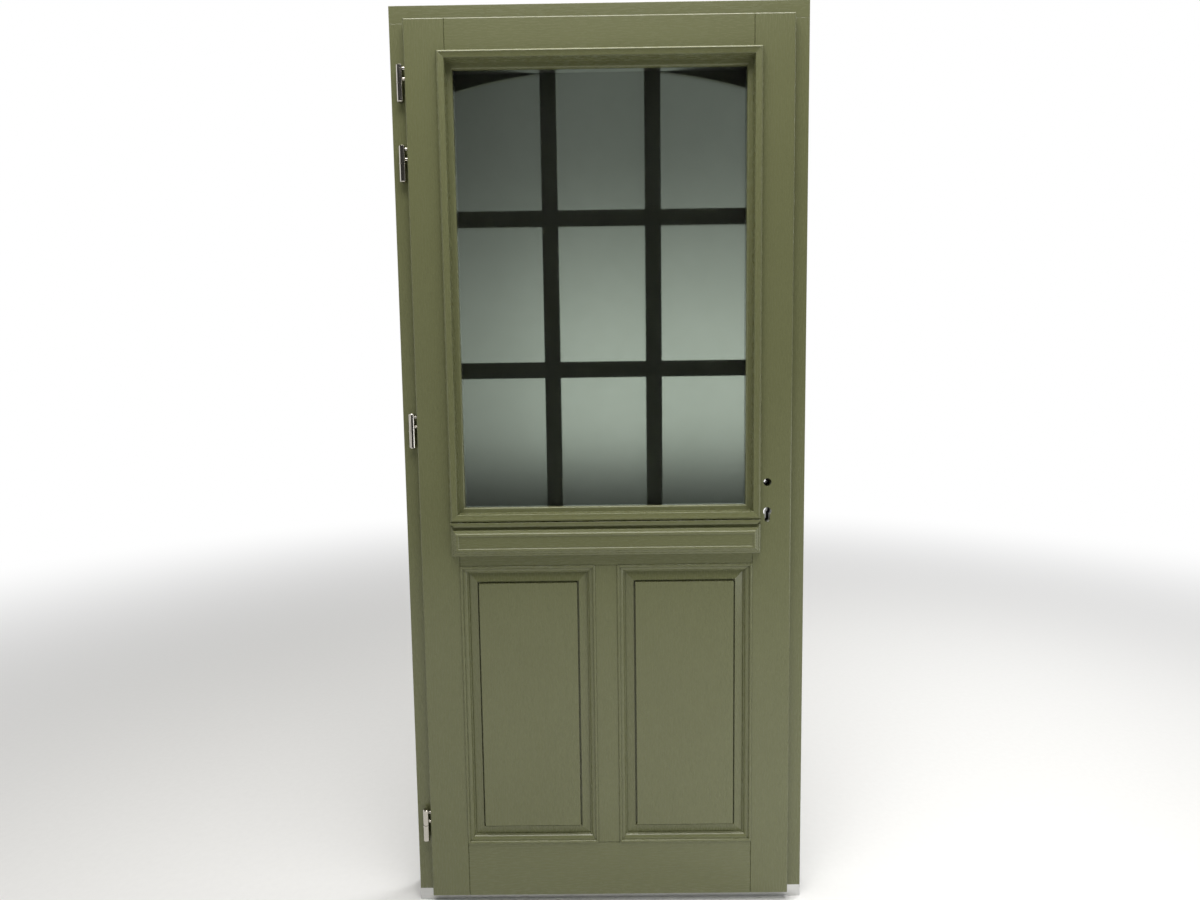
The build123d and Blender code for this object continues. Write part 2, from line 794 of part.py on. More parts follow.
# Raised panels: tongue, flat margin, bevel, quirk and raised field, alike on both faces
margin_thickness = leaf_thickness - 2 * margin_depth
bevel_inset = moulding_width + bevel_width
field_inset = bevel_inset + quirk_width
bevel_base = leaf_front + margin_depth
bevel_crest = bevel_base - bevel_rise
for side, side_name in ((-1, "left"), (1, "right")):
    centre = (side * panel_centre, panel_middle)
    with BuildPart() as panel:
        with BuildSketch(upright_plane(leaf_middle)):
            with Locations(centre):
                Rectangle(panel_width + 2 * tongue_length, panel_opening_height + 2 * tongue_length)
        extrude(amount=tongue_thickness / 2)
        with BuildSketch(upright_plane(leaf_middle)):
            with Locations(centre):
                Rectangle(panel_width - 2 * glue_gap, panel_opening_height - 2 * glue_gap)
        extrude(amount=margin_thickness / 2)
        with BuildSketch(upright_plane(bevel_base)):
            with Locations(centre):
                Rectangle(panel_width - 2 * moulding_width, panel_opening_height - 2 * moulding_width)
        with BuildSketch(upright_plane(bevel_crest)):
            with Locations(centre):
                Rectangle(panel_width - 2 * bevel_inset, panel_opening_height - 2 * bevel_inset)
        loft()
        with BuildSketch(upright_plane(bevel_crest + quirk_depth)):
            with Locations(centre):
                Rectangle(panel_width - 2 * bevel_inset, panel_opening_height - 2 * bevel_inset)
                Rectangle(
                    panel_width - 2 * field_inset,
                    panel_opening_height - 2 * field_inset,
                    mode=Mode.SUBTRACT,
                )
        extrude(amount=quirk_depth, mode=Mode.SUBTRACT)
        with BuildSketch(upright_plane(bevel_crest)):
            with Locations(centre):
                Rectangle(panel_width - 2 * field_inset, panel_opening_height - 2 * field_inset)
        extrude(amount=bevel_crest - leaf_front - field_drop)
        mirror(about=upright_plane(leaf_middle))
    save(panel.part, f"panel_{side_name}")

# Mitred mouldings round the panels: four pieces on the room side, one set on the outer side
room = Vector(0, -1, 0)
outdoors = Vector(0, 1, 0)
for side, side_name in ((-1, "left"), (1, "right")):
    edges = sorted((side * muntin_half, side * opening_half))
    for place, middle, inward, length in mitred_sides(*edges, panel_low, panel_high, leaf_front):
        moulding = mitred_run(draw_panel_moulding, middle, inward, room, length, 0)
        save(moulding, f"panel_{side_name}_moulding_{place}")
    outer_runs = []
    for place, middle, inward, length in mitred_sides(*edges, panel_low, panel_high, leaf_back):
        outer_runs.append(mitred_run(draw_panel_moulding, middle, inward, outdoors, length, 0).solid())
    save(Compound(children=outer_runs), f"panel_{side_name}_outer_mouldings")

# Glazing beads, mitred, covering the joint of glass and frame on the room side
bead_sides = mitred_sides(-opening_half, opening_half, glaze_low, glaze_high, leaf_front)
for place, middle, inward, length in bead_sides:
    bead = mitred_run(draw_glazing_bead, middle, inward, room, length, bead_cover)
    save(bead, f"glazing_bead_{place}")

# Planted moulding on the lock rail: a flat field inside four mitred edges
plant_runs = []
for place, middle, inward, length in mitred_sides(-plant_half, plant_half, plant_low, plant_high, leaf_front):
    plant_runs.append(mitred_run(draw_planted_edge, middle, inward, room, length, 0))
with BuildPart() as lock_rail_moulding:
    with BuildSketch(upright_plane(leaf_front)):
        with Locations((0, (plant_low + plant_high) / 2)):
            Rectangle(2 * (plant_half - plant_edging), plant_height - 2 * plant_edging)
    extrude(amount=plant_field)
    add(plant_runs)
save(lock_rail_moulding.part, "lock_rail_moulding")

# Glass unit: two panes and the spacer that keeps them apart
for pane_name, pane_back in (("glass_inner", cavity_front), ("glass_outer", glass_back)):
    with BuildPart() as pane:
        with BuildSketch(upright_plane(pane_back)):
            with Locations((0, glass_middle)):
                Rectangle(glass_width, glass_height)
        extrude(amount=pane_thickness)
    save(pane.part, pane_name)

with BuildPart() as glass_spacer:
    with BuildSketch(upright_plane(cavity_back - bedding_gap)):
        with Locations((0, glass_middle)):
            Rectangle(glass_width - 2 * spacer_inset, glass_height - 2 * spacer_inset)
            Rectangle(
                glass_width - 2 * (spacer_inset + spacer_width),
                glass_height - 2 * (spacer_inset + spacer_width),
                mode=Mode.SUBTRACT,
            )
    extrude(amount=cavity - 2 * bedding_gap)
save(glass_spacer.part, "glass_spacer")

# Outer stops: the bottom one runs full width, the side ones stand on it under the arched head
with BuildPart() as outer_stop_bottom:
    with BuildSketch(upright_plane(leaf_back)):
        with Locations((0, (glaze_low + sight_low) / 2)):
            Rectangle(2 * opening_half, outer_sight)
    extrude(amount=stop_depth)
    chamfer(outer_stop_bottom.edges().sort_by_distance((0, leaf_back, sight_low))[0], length=bar_chamfer)
save(outer_stop_bottom.part, "outer_stop_bottom")

for side, side_name in ((-1, "left"), (1, "right")):
    with BuildPart() as outer_stop:
        with BuildSketch(upright_plane(leaf_back)):
            with Locations((side * (sight_half + opening_half) / 2, (sight_low + arch_spring) / 2)):
                Rectangle(outer_sight, arch_spring - sight_low)
        extrude(amount=stop_depth)
        inner_arris = outer_stop.edges().sort_by_distance((side * sight_half, leaf_back, glass_middle))[0]
        chamfer(inner_arris, length=bar_chamfer)
    save(outer_stop.part, f"outer_stop_{side_name}")

# Arched head: a flat arch springs from the side stops and crowns under the top rail
with BuildPart() as arched_head:
    with BuildSketch(upright_plane(leaf_back)):
        with BuildLine():
            Polyline(
                (-sight_half, arch_spring),
                (-opening_half, arch_spring),
                (-opening_half, glaze_high),
                (opening_half, glaze_high),
                (opening_half, arch_spring),
                (sight_half, arch_spring),
            )
            ThreePointArc((sight_half, arch_spring), (0, sight_high), (-sight_half, arch_spring))
        make_face()
    extrude(amount=stop_depth)
    chamfer(arched_head.edges().filter_by(GeomType.CIRCLE).sort_by(Axis.Y)[-1], length=bar_chamfer)
save(arched_head.part, "arched_head")

# Glazing bars, halved together where they cross; the uprights are cut to the arch
for side, side_name in ((-1, "left"), (1, "right")):
    with BuildPart() as upright_bar:
        with BuildSketch(upright_plane(leaf_back)):
            with Locations((side * upright_place, (sight_low + sight_high) / 2)):
                Rectangle(bar_width, sight_high - sight_low)
        extrude(amount=stop_depth)
        outer_arrises = upright_bar.edges().filter_by(Axis.Z).group_by(Axis.Y)[-1]
        chamfer(outer_arrises, length=bar_chamfer)
        with BuildSketch(upright_plane(leaf_back)):
            with BuildLine():
                ThreePointArc((sight_half, arch_spring), (0, sight_high), (-sight_half, arch_spring))
                Polyline(
                    (-sight_half, arch_spring),
                    (-sight_half, glaze_high),
                    (sight_half, glaze_high),
                    (sight_half, arch_spring),
                )
            make_face()
        extrude(amount=stop_depth, mode=Mode.SUBTRACT)
        with BuildSketch(upright_plane(lap_depth)):
            with Locations((side * upright_place, level_low), (side * upright_place, level_high)):
                Rectangle(bar_width, bar_width)
        extrude(amount=lap_depth - stop_front, mode=Mode.SUBTRACT)
    save(upright_bar.part, f"glazing_bar_{side_name}")

for level, level_name in ((level_low, "lower"), (level_high, "upper")):
    with BuildPart() as level_bar:
        with BuildSketch(upright_plane(leaf_back)):
            with Locations((0, level)):
                Rectangle(2 * sight_half, bar_width)
        extrude(amount=stop_depth)
        outer_arrises = level_bar.edges().filter_by(Axis.X).group_by(Axis.Y)[-1]
        chamfer(outer_arrises, length=bar_chamfer)
        with BuildSketch(upright_plane(leaf_back)):
            with Locations((-upright_place, level), (upright_place, level)):
                Rectangle(bar_width, bar_width)
        extrude(amount=leaf_back - lap_depth, mode=Mode.SUBTRACT)
    save(level_bar.part, f"glazing_bar_{level_name}")

# Weather board on the outer face, with a drip groove under its nose
board_low = body_bottom + board_rise
board_high = board_low + board_height
board_front = leaf_back + board_reach
with BuildPart() as weather_board:
    with BuildSketch(Plane.YZ):
        with BuildLine():
            nose_top = (board_front, board_low + board_nose)
            slope_top = (leaf_back + board_top, board_high)
            Polyline((leaf_back, board_high), (leaf_back, board_low), (board_front, board_low), nose_top)
            SagittaArc(nose_top, slope_top, -board_sagitta)
            Line(slope_top, (leaf_back, board_high))
        make_face()
        with Locations((board_front - board_nose + drip_width / 2, board_low + drip_depth / 2)):
            Rectangle(drip_width, drip_depth, mode=Mode.SUBTRACT)
    extrude(amount=board_width / 2, both=True)
save(weather_board.part, "weather_board")

# Bottom seal, held in the groove under the leaf
with BuildPart() as bottom_seal:
    with BuildSketch(Plane.XY.offset(threshold_height + rub_gap)):
        with Locations((0, bottom_seal_middle)):
            Rectangle(bottom_seal_width, bottom_seal_thickness)
    extrude(amount=threshold_clearance - rub_gap + bottom_seal_root)
save(bottom_seal.part, "bottom_seal")

# Lock case: a pressed box, open towards the leaf's edge
with BuildPart() as lock_case:
    with BuildSketch(Plane.YZ.offset(case_rear)):
        with Locations((leaf_middle, case_middle)):
            Rectangle(case_thickness, case_height)
    extrude(amount=case_depth)
    with BuildSketch(Plane.YZ.offset(case_rear + case_wall)):
        with Locations((leaf_middle, case_middle)):
            Rectangle(case_thickness - 2 * case_wall, case_height - 2 * case_wall)
    extrude(amount=case_depth, mode=Mode.SUBTRACT)
    with BuildSketch(upright_plane(case_y_high)):
        with Locations((handle_x, handle_z)):
            Circle(journal_radius)
        draw_cylinder_hole(0)
    extrude(amount=case_thickness, mode=Mode.SUBTRACT)
save(lock_case.part, "lock_case")

with BuildPart() as faceplate:
    with BuildSketch(Plane.YZ.offset(case_front_face)):
        with Locations((leaf_middle, case_middle)):
            Rectangle(faceplate_width, case_height + 2 * faceplate_margin)
        with Locations((leaf_middle, latch_z)):
            Rectangle(bolt_thickness + 2 * bolt_gap, latch_height + 2 * bolt_gap, mode=Mode.SUBTRACT)
        with Locations((leaf_middle, deadbolt_z)):
            Rectangle(bolt_thickness + 2 * bolt_gap, deadbolt_height + 2 * bolt_gap, mode=Mode.SUBTRACT)
    extrude(amount=faceplate_thickness)
save(faceplate.part, "faceplate")

# Follower: a hub with a square hole, journals in the case and a lobe that draws the latch
hub_length = case_thickness - 2 * (case_wall + hub_play)
with BuildPart() as follower:
    with BuildSketch(upright_plane(leaf_middle + hub_length / 2)):
        with Locations((handle_x, handle_z)):
            Circle(hub_radius)
            with PolarLocations(lobe_reach / 2, 1, start_angle=lobe_angle):
                SlotCenterToCenter(lobe_reach, lobe_width)
    extrude(amount=hub_length)
    with BuildSketch(upright_plane(case_y_high)):
        with Locations((handle_x, handle_z)):
            Circle(journal_radius - journal_clearance)
    extrude(amount=case_thickness)
    with BuildSketch(upright_plane(case_y_high)):
        with Locations((handle_x, handle_z)):
            Rectangle(spindle_size, spindle_size, rotation=lever_throw)
    extrude(amount=case_thickness, mode=Mode.SUBTRACT)
save(follower.part, "follower")

# Latch bolt, drawn back flush: sloped head, tail and the carriage that the lobe pushes
with BuildPart() as latch_bolt:
    with BuildSketch(Plane.XY.offset(latch_z - latch_height / 2)):
        with BuildLine():
            Polyline(
                (latch_back, leaf_middle - bolt_thickness / 2),
                (body_half, leaf_middle - bolt_thickness / 2),
                (body_half - latch_slope, leaf_middle + bolt_thickness / 2),
                (latch_back, leaf_middle + bolt_thickness / 2),
                close=True,
            )
        make_face()
    extrude(amount=latch_height)
    with BuildSketch(Plane.YZ.offset(carriage_front)):
        with Locations((leaf_middle, latch_z)):
            Circle(tail_radius)
    extrude(amount=latch_back - carriage_front)
    with BuildSketch(Plane.YZ.offset(carriage_front - carriage_thickness)):
        with Locations((leaf_middle, latch_z + (tail_radius - carriage_hang) / 2)):
            Rectangle(carriage_width, tail_radius + carriage_hang)
    extrude(amount=carriage_thickness)
save(latch_bolt.part, "latch_bolt")

with BuildPart() as deadbolt:
    with BuildSketch(Plane.YZ.offset(body_half - deadbolt_length)):
        with Locations((leaf_middle, deadbolt_z)):
            Rectangle(bolt_thickness, deadbolt_height)
    extrude(amount=deadbolt_length)
    chamfer(deadbolt.faces().sort_by(Axis.X)[-1].edges(), length=deadbolt_round)
save(deadbolt.part, "deadbolt")
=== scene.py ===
# %% [markdown]
# # Glazed entrance door in its frame
# A painted wooden door with glazing bars, raised panels and a mortise lock, seen from the room.
# The solids come from CAD and stay as they are. This script gives each of them a finish, makes the
# glazing beads, the soft seals and the small screws, and sets up the camera, the floor and the light.

import math

import bmesh
import bpy
from mathutils import Euler, Matrix, Vector


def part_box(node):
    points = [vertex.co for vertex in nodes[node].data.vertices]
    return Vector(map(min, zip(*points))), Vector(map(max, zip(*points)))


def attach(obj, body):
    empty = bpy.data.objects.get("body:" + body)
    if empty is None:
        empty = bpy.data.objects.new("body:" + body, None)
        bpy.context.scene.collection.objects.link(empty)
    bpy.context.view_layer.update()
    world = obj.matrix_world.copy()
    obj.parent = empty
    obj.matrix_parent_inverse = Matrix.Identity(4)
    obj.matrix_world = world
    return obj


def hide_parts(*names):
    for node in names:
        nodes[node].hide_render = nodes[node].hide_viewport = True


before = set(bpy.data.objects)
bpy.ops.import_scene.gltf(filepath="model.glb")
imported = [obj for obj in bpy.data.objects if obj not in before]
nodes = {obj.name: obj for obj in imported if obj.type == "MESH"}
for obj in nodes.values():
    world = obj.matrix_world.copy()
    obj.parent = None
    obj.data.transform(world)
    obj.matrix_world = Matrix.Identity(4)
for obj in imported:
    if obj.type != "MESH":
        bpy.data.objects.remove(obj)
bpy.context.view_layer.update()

# %% [markdown]
# ## Camera
# The picture was taken from chest height, about 1.6 m from the door, tilted slightly down.
# A camera could be placed by eye, but a fit of the leaf's corners, holes and hinges gives its place
# and angles to about a pixel.

# %% Camera
IMAGE_WIDTH = 1200
FOCAL_PIXELS = 655
SENSOR_WIDTH = 36
CAMERA_PLACE = (-0.0032, -1.5985, 1.2658)
PITCH_DOWN = math.radians(4.607)
YAW_LEFT = math.radians(0.274)
ROLL = math.radians(-0.754)

camera_data = bpy.data.cameras.new("door_camera")
camera_data.sensor_fit = "HORIZONTAL"
camera_data.sensor_width = SENSOR_WIDTH
camera_data.lens = SENSOR_WIDTH * FOCAL_PIXELS / IMAGE_WIDTH
camera = bpy.data.objects.new("door_camera", camera_data)
bpy.context.scene.collection.objects.link(camera)
turn = Euler((math.pi / 2 - PITCH_DOWN, 0, YAW_LEFT), "XYZ").to_matrix().to_4x4()
camera.matrix_world = Matrix.Translation(CAMERA_PLACE) @ turn @ Matrix.Rotation(ROLL, 4, "Z")
bpy.context.scene.camera = camera
bpy.context.scene.view_settings.view_transform = "Standard"
print("lens", round(camera_data.lens, 2), "mm")

# %% [markdown]
# ## Node helpers
# Every finish is a small tree of shader nodes. Two helpers keep the trees short to read: one feeds a
# node's inputs with values or with other nodes' outputs, the other adds a node and feeds it. The rest
# are for what comes back often: sums, spans, noise and mixed colours, and then groups and materials.

# %% Node helpers


def feed(tree, node, inputs):
    """Give a node's inputs plain values, or join them to other nodes' outputs."""
    for name, term in inputs.items():
        if isinstance(term, bpy.types.NodeSocket):
            tree.links.new(term, node.inputs[name])
        else:
            node.inputs[name].default_value = term


def add(tree, kind, inputs=None, **settings):
    """Add a node with its settings and feed its inputs."""
    made = tree.nodes.new(kind)
    for name, value in settings.items():
        setattr(made, name, value)
    feed(tree, made, inputs or {})
    return made


def calc(tree, operation, *terms):
    """Do a sum with sockets or numbers."""
    return add(tree, "ShaderNodeMath", dict(enumerate(terms)), operation=operation).outputs[0]


def ranged(tree, value, source, target=(0.0, 1.0), smooth=False):
    """Map a value from one span to another."""
    values = {"Value": value, "From Min": source[0], "From Max": source[1]}
    values.update({"To Min": target[0], "To Max": target[1]})
    kind = "SMOOTHSTEP" if smooth else "LINEAR"
    return add(tree, "ShaderNodeMapRange", values, interpolation_type=kind).outputs["Result"]


def noise(tree, vector, **values):
    """Draw a noise texture at the given coordinates."""
    return add(tree, "ShaderNodeTexNoise", {"Vector": vector, **values}).outputs["Fac"]


def blended(tree, share, first, second):
    """Mix two colours."""
    values = {"Factor": share, "A": first, "B": second}
    return add(tree, "ShaderNodeMix", values, data_type="RGBA").outputs["Result"]


def object_place(tree):
    """Give the object's own coordinates."""
    return add(tree, "ShaderNodeTexCoord").outputs["Object"]


print("node helpers ready")

# %% Groups and materials
VECTOR = "NodeSocketVector"
FLOAT = "NodeSocketFloat"
COLOUR = "NodeSocketColor"
FINISH_OUTPUTS = [("Colour", COLOUR), ("Roughness", FLOAT), ("Height", FLOAT)]


def srgb(red, green, blue):
    """Turn a colour written in 0 to 255 steps into the linear values that shaders use."""
    steps = [value / 255 for value in (red, green, blue)]
    linear = [s / 12.92 if s <= 0.04045 else ((s + 0.055) / 1.055) ** 2.4 for s in steps]
    return (*linear, 1.0)


def new_group(name, inputs, outputs):
    """Start a shader node group with named inputs and outputs, and give its two end nodes."""
    group = bpy.data.node_groups.new(name, "ShaderNodeTree")
    for label, kind in inputs:
        group.interface.new_socket(name=label, in_out="INPUT", socket_type=kind)
    for label, kind in outputs:
        group.interface.new_socket(name=label, in_out="OUTPUT", socket_type=kind)
    return group, group.nodes.new("NodeGroupInput"), group.nodes.new("NodeGroupOutput")


def new_material(name, **values):
    """Start a material and give its tree and its shader, with the shader's constant values set."""
    material = bpy.data.materials.new(name)
    material.use_nodes = True
    tree = material.node_tree
    shader = tree.nodes["Principled BSDF"]
    for label, value in values.items():
        shader.inputs[label.replace("_", " ")].default_value = value
    return material, tree, shader


def coat(tree, shader, colour, roughness, height, strength, depth):
    """Feed the shader a colour, a roughness and a height, and give the bump node."""
    bump = add(tree, "ShaderNodeBump", {"Height": height, "Strength": strength, "Distance": depth})
    feed(tree, shader, {"Base Color": colour, "Roughness": roughness, "Normal": bump.outputs["Normal"]})
    return bump


print("groups give", [label for label, kind in FINISH_OUTPUTS])

# %% [markdown]
# ## Grain group
# The paint is sprayed over sanded wood, so the grain still shows as fine streaks along each board.
# It could be drawn by stretching one texture, but real grain has two scales: short pores and long
# soft streaks. The group mixes both with broad clouds and the faint ripple of the spray, and gives a
# colour, a roughness and a height. Each material sets the streaks' direction by scaling the coordinates.

# %% Grain group
STREAK_TONE = 0.28
CLOUD_TONE = 0.45
STREAK_HEIGHT = 0.03
PORE_HEIGHT = -0.04
RIPPLE_HEIGHT = 0.3
DRAWN_INPUTS = [
    ("Vector", VECTOR), ("Along Vector", VECTOR), ("Light Colour", COLOUR), ("Dark Colour", COLOUR),
    ("Roughness Low", FLOAT), ("Roughness High", FLOAT),
]
grain_group, grain_in, grain_out = new_group("painted_grain", DRAWN_INPUTS, FINISH_OUTPUTS)
t, given = grain_group, grain_in.outputs
streaks = noise(t, given["Along Vector"], Scale=300.0, Detail=3.0, Roughness=0.6)
pores = noise(t, given["Along Vector"], Scale=1100.0, Detail=2.0, Roughness=0.5)
clouds = noise(t, given["Vector"], Scale=5.0, Detail=2.0)
ripple = noise(t, given["Vector"], Scale=340.0, Detail=1.0)
pore_mask = ranged(t, pores, (0.52, 0.72))
streak_mask = ranged(t, streaks, (0.3, 0.7))
shade = calc(t, "ADD", calc(t, "MULTIPLY", streak_mask, STREAK_TONE), calc(t, "MULTIPLY", clouds, CLOUD_TONE))
height = calc(t, "MULTIPLY", streak_mask, STREAK_HEIGHT)
for mark, mark_height in ((pore_mask, PORE_HEIGHT), (ripple, RIPPLE_HEIGHT)):
    height = calc(t, "ADD", height, calc(t, "MULTIPLY", mark, mark_height))
feed(t, grain_out, {
    "Colour": blended(t, shade, given["Light Colour"], given["Dark Colour"]),
    "Roughness": ranged(t, streaks, (0.25, 0.75), (given["Roughness Low"], given["Roughness High"])),
    "Height": height,
})
print("grain group", len(t.nodes), "nodes")

# %% [markdown]
# ## Olive paint
# Stiles, jambs, muntin and panels have their grain upright, rails and cross pieces have it level.
# One paint with one direction would look wrong on half of the boards, so there are two materials
# from the same group. Object coordinates are used because each CAD object sits at the origin, so the
# grain keeps its true size in metres. A bevel normal rounds the paint on the sharp arrises.

# %% Olive paint
PAINT_LOOK = {
    "Light Colour": srgb(110, 113, 79),
    "Dark Colour": srgb(99, 101, 67),
    "Roughness Low": 0.24,
    "Roughness High": 0.3,
}
STRETCH = 0.12
ARRIS_RADIUS = 0.0012
ARRIS_SAMPLES = 4
GRAIN_STRENGTH = 0.14
GRAIN_DEPTH = 0.0004


def drawn_finish(tree, shader, group, stretch, look, strength, depth):
    """Coat a shader with a group whose marks are stretched along one axis, and give the bump node."""
    place = object_place(tree)
    along = add(tree, "ShaderNodeMapping", {"Vector": place, "Scale": stretch})
    values = {"Vector": place, "Along Vector": along.outputs["Vector"], **look}
    drawn = add(tree, "ShaderNodeGroup", values, node_tree=group).outputs
    return coat(tree, shader, drawn["Colour"], drawn["Roughness"], drawn["Height"], strength, depth)


def olive_paint(name, stretch):
    """Make the paint with its grain stretched along one axis."""
    material, tree, shader = new_material(name)
    bump = drawn_finish(tree, shader, grain_group, stretch, PAINT_LOOK, GRAIN_STRENGTH, GRAIN_DEPTH)
    rounded = add(tree, "ShaderNodeBevel", {"Radius": ARRIS_RADIUS}, samples=ARRIS_SAMPLES)
    feed(tree, bump, {"Normal": rounded.outputs["Normal"]})
    return material


paint_upright = olive_paint("olive_paint_upright", (1, 1, STRETCH))
paint_level = olive_paint("olive_paint_level", (STRETCH, 1, 1))
print("paint", paint_upright.name, paint_level.name)

# %% [markdown]
# ## Glass
# The unit has a clear inner pane and an obscure outer pane, whose grain blurs what is behind it. The
# obscure look could be a plain rough shader, but the real pane is a rolled glass, so a fine pebble
# pattern bends the light as well. The clear pane has only a faint wave and a breath of dust.

# %% Clear glass
DUST_TONES = (0.93, 0.96, 0.93, 1), (0.88, 0.91, 0.87, 1)
DUST_GLOSS = (0.0, 0.05)
WAVE_STRENGTH = 0.04
WAVE_DEPTH = 0.002
clear_glass, tree, shader = new_material("clear_glass", IOR=1.5, Transmission_Weight=1.0)
place = object_place(tree)
wave = noise(tree, place, Scale=9.0, Detail=1.0)
dust = noise(tree, place, Scale=30.0, Detail=4.0)
dust_tone = blended(tree, dust, *DUST_TONES)
dust_gloss = ranged(tree, dust, (0.4, 0.8), DUST_GLOSS)
coat(tree, shader, dust_tone, dust_gloss, wave, WAVE_STRENGTH, WAVE_DEPTH)
print("glass", clear_glass.name)

# %% Obscure glass
PANE_TONES = srgb(176, 184, 174), srgb(190, 197, 188)
PANE_GLOSS = (0.4, 0.56)
PEBBLE_SCALE = 480.0
PEBBLE_STRENGTH = 0.35
PEBBLE_DEPTH = 0.0006
obscure_glass, tree, shader = new_material("obscure_glass", IOR=1.5, Transmission_Weight=1.0)
place = object_place(tree)
rolled = add(tree, "ShaderNodeTexVoronoi", {"Vector": place, "Scale": PEBBLE_SCALE}, feature="SMOOTH_F1")
pebbles = rolled.outputs["Distance"]
flow = noise(tree, place, Scale=4.0, Detail=2.0)
pane_tone = blended(tree, flow, *PANE_TONES)
pane_gloss = ranged(tree, pebbles, (0.0, 1.0), PANE_GLOSS)
coat(tree, shader, pane_tone, pane_gloss, pebbles, PEBBLE_STRENGTH, PEBBLE_DEPTH)
print("glass", obscure_glass.name)

# %% [markdown]
# ## Metals
# Hinges are polished nickel, the threshold is mill aluminium with the fine lines that the die leaves
# along it, and the lock's plates and bolts are zinc-plated. All have lines in one direction, so one
# group draws them, and each material sets the direction, the colours and how strongly they show.

# %% Metals
LINE_SHARE = 0.5
STAIN_SHARE = 0.5
LINE_DEPTH = 0.0002
metal_group, metal_in, metal_out = new_group("drawn_metal", DRAWN_INPUTS, FINISH_OUTPUTS)
t, given = metal_group, metal_in.outputs
lines = noise(t, given["Along Vector"], Scale=900.0, Detail=2.0)
stains = noise(t, given["Vector"], Scale=22.0, Detail=4.0)
wear = calc(t, "MULTIPLY_ADD", stains, STAIN_SHARE, calc(t, "MULTIPLY", lines, LINE_SHARE))
feed(t, metal_out, {
    "Colour": blended(t, wear, given["Light Colour"], given["Dark Colour"]),
    "Roughness": ranged(t, wear, (0.3, 0.7), (given["Roughness Low"], given["Roughness High"])),
    "Height": lines,
})


def drawn_metal(name, stretch, light, dark, smooth, rough, strength):
    """Make a metal with fine lines along one axis."""
    material, tree, shader = new_material(name, Metallic=1.0)
    look = {"Light Colour": light, "Dark Colour": dark, "Roughness Low": smooth, "Roughness High": rough}
    drawn_finish(tree, shader, metal_group, stretch, look, strength, LINE_DEPTH)
    return material


# name: direction, light and dark colour, lowest and highest roughness, strength of the lines
METALS = {
    "hinge_nickel": ((1, 1, 0.1), srgb(214, 210, 202), srgb(176, 171, 162), 0.12, 0.24, 0.1),
    "mill_aluminium": ((0.02, 1, 1), srgb(222, 222, 220), srgb(190, 191, 191), 0.28, 0.42, 0.2),
    "plated_steel": ((1, 1, 0.06), srgb(196, 195, 188), srgb(150, 149, 143), 0.22, 0.38, 0.2),
}
hinge_nickel, mill_aluminium, plated_steel = [drawn_metal(name, *look) for name, look in METALS.items()]
print("metals", hinge_nickel.name, mill_aluminium.name, plated_steel.name)

# %% [markdown]
# ## Plastic and rubber
# The seals are black rubber, the threshold's insulating break is black plastic, and the lock's case is
# lacquered black. None is quite black: a fine grain and a little grey dust keep the shape readable, so
# one group serves all three.

# %% Plastic and rubber
MOULD_STRENGTH = 0.25
MOULD_DEPTH = 0.0002
MOULD_GLOSS = (0.48, 0.72)
MOULD_INPUTS = [("Vector", VECTOR), ("Light Colour", COLOUR), ("Dark Colour", COLOUR), ("Grain Scale", FLOAT)]
moulded_group, moulded_in, moulded_out = new_group("moulded_black", MOULD_INPUTS, FINISH_OUTPUTS)
t, given = moulded_group, moulded_in.outputs
fine = noise(t, given["Vector"], Scale=given["Grain Scale"], Detail=2.0)
dusty = noise(t, given["Vector"], Scale=35.0, Detail=4.0)
feed(t, moulded_out, {
    "Colour": blended(t, dusty, given["Dark Colour"], given["Light Colour"]),
    "Roughness": ranged(t, dusty, (0.0, 1.0), MOULD_GLOSS),
    "Height": fine,
})


def moulded_black(name, light, dark, scale):
    """Make a black moulded finish."""
    material, tree, shader = new_material(name)
    values = {"Vector": object_place(tree), "Light Colour": light, "Dark Colour": dark, "Grain Scale": scale}
    black = add(tree, "ShaderNodeGroup", values, node_tree=moulded_group).outputs
    coat(tree, shader, black["Colour"], black["Roughness"], black["Height"], MOULD_STRENGTH, MOULD_DEPTH)
    return material


seal_rubber = moulded_black("seal_rubber", srgb(52, 52, 50), srgb(30, 30, 29), 700.0)
break_plastic = moulded_black("break_plastic", srgb(60, 60, 60), srgb(38, 38, 38), 1400.0)
case_lacquer = moulded_black("case_lacquer", srgb(40, 38, 36), srgb(22, 21, 20), 1000.0)
print("black finishes", seal_rubber.name, break_plastic.name, case_lacquer.name)

# %% [markdown]
# ## Finishes on the solids
# Each CAD solid gets the finish of its own board or fitting. The choice goes by the piece's name: fittings
# first, then hinges, and then the cross pieces apart from the other boards, because they have level grain.

# %% Finishes on the solids
LEVEL_BOARDS = {
    "frame_head", "top_rail", "lock_rail", "bottom_rail", "lock_rail_moulding", "arched_head",
    "outer_stop_bottom", "glazing_bead_bottom", "glazing_bead_top", "glazing_bar_lower",
    "glazing_bar_upper", "weather_board", "panel_left_moulding_bottom", "panel_left_moulding_top",
    "panel_right_moulding_bottom", "panel_right_moulding_top",
}
FITTINGS = {
    "glass_inner": clear_glass,
    "glass_outer": obscure_glass,
    "glass_spacer": mill_aluminium,
    "threshold": mill_aluminium,
    "threshold_break": break_plastic,
    "weather_seal": seal_rubber,
    "bottom_seal": seal_rubber,
    "hinge_pins": plated_steel,
    "hinge_washers": hinge_nickel,
    "strike_plate": plated_steel,
    "faceplate": plated_steel,
    "lock_case": case_lacquer,
    "follower": case_lacquer,
    "latch_bolt": plated_steel,
    "deadbolt": plated_steel,
}


def finish_of(name):
    """Choose the finish of a CAD node by its name."""
    if name in FITTINGS:
        return FITTINGS[name]
    if name.startswith("hinge_"):
        return hinge_nickel
    return paint_level if name in LEVEL_BOARDS else paint_upright


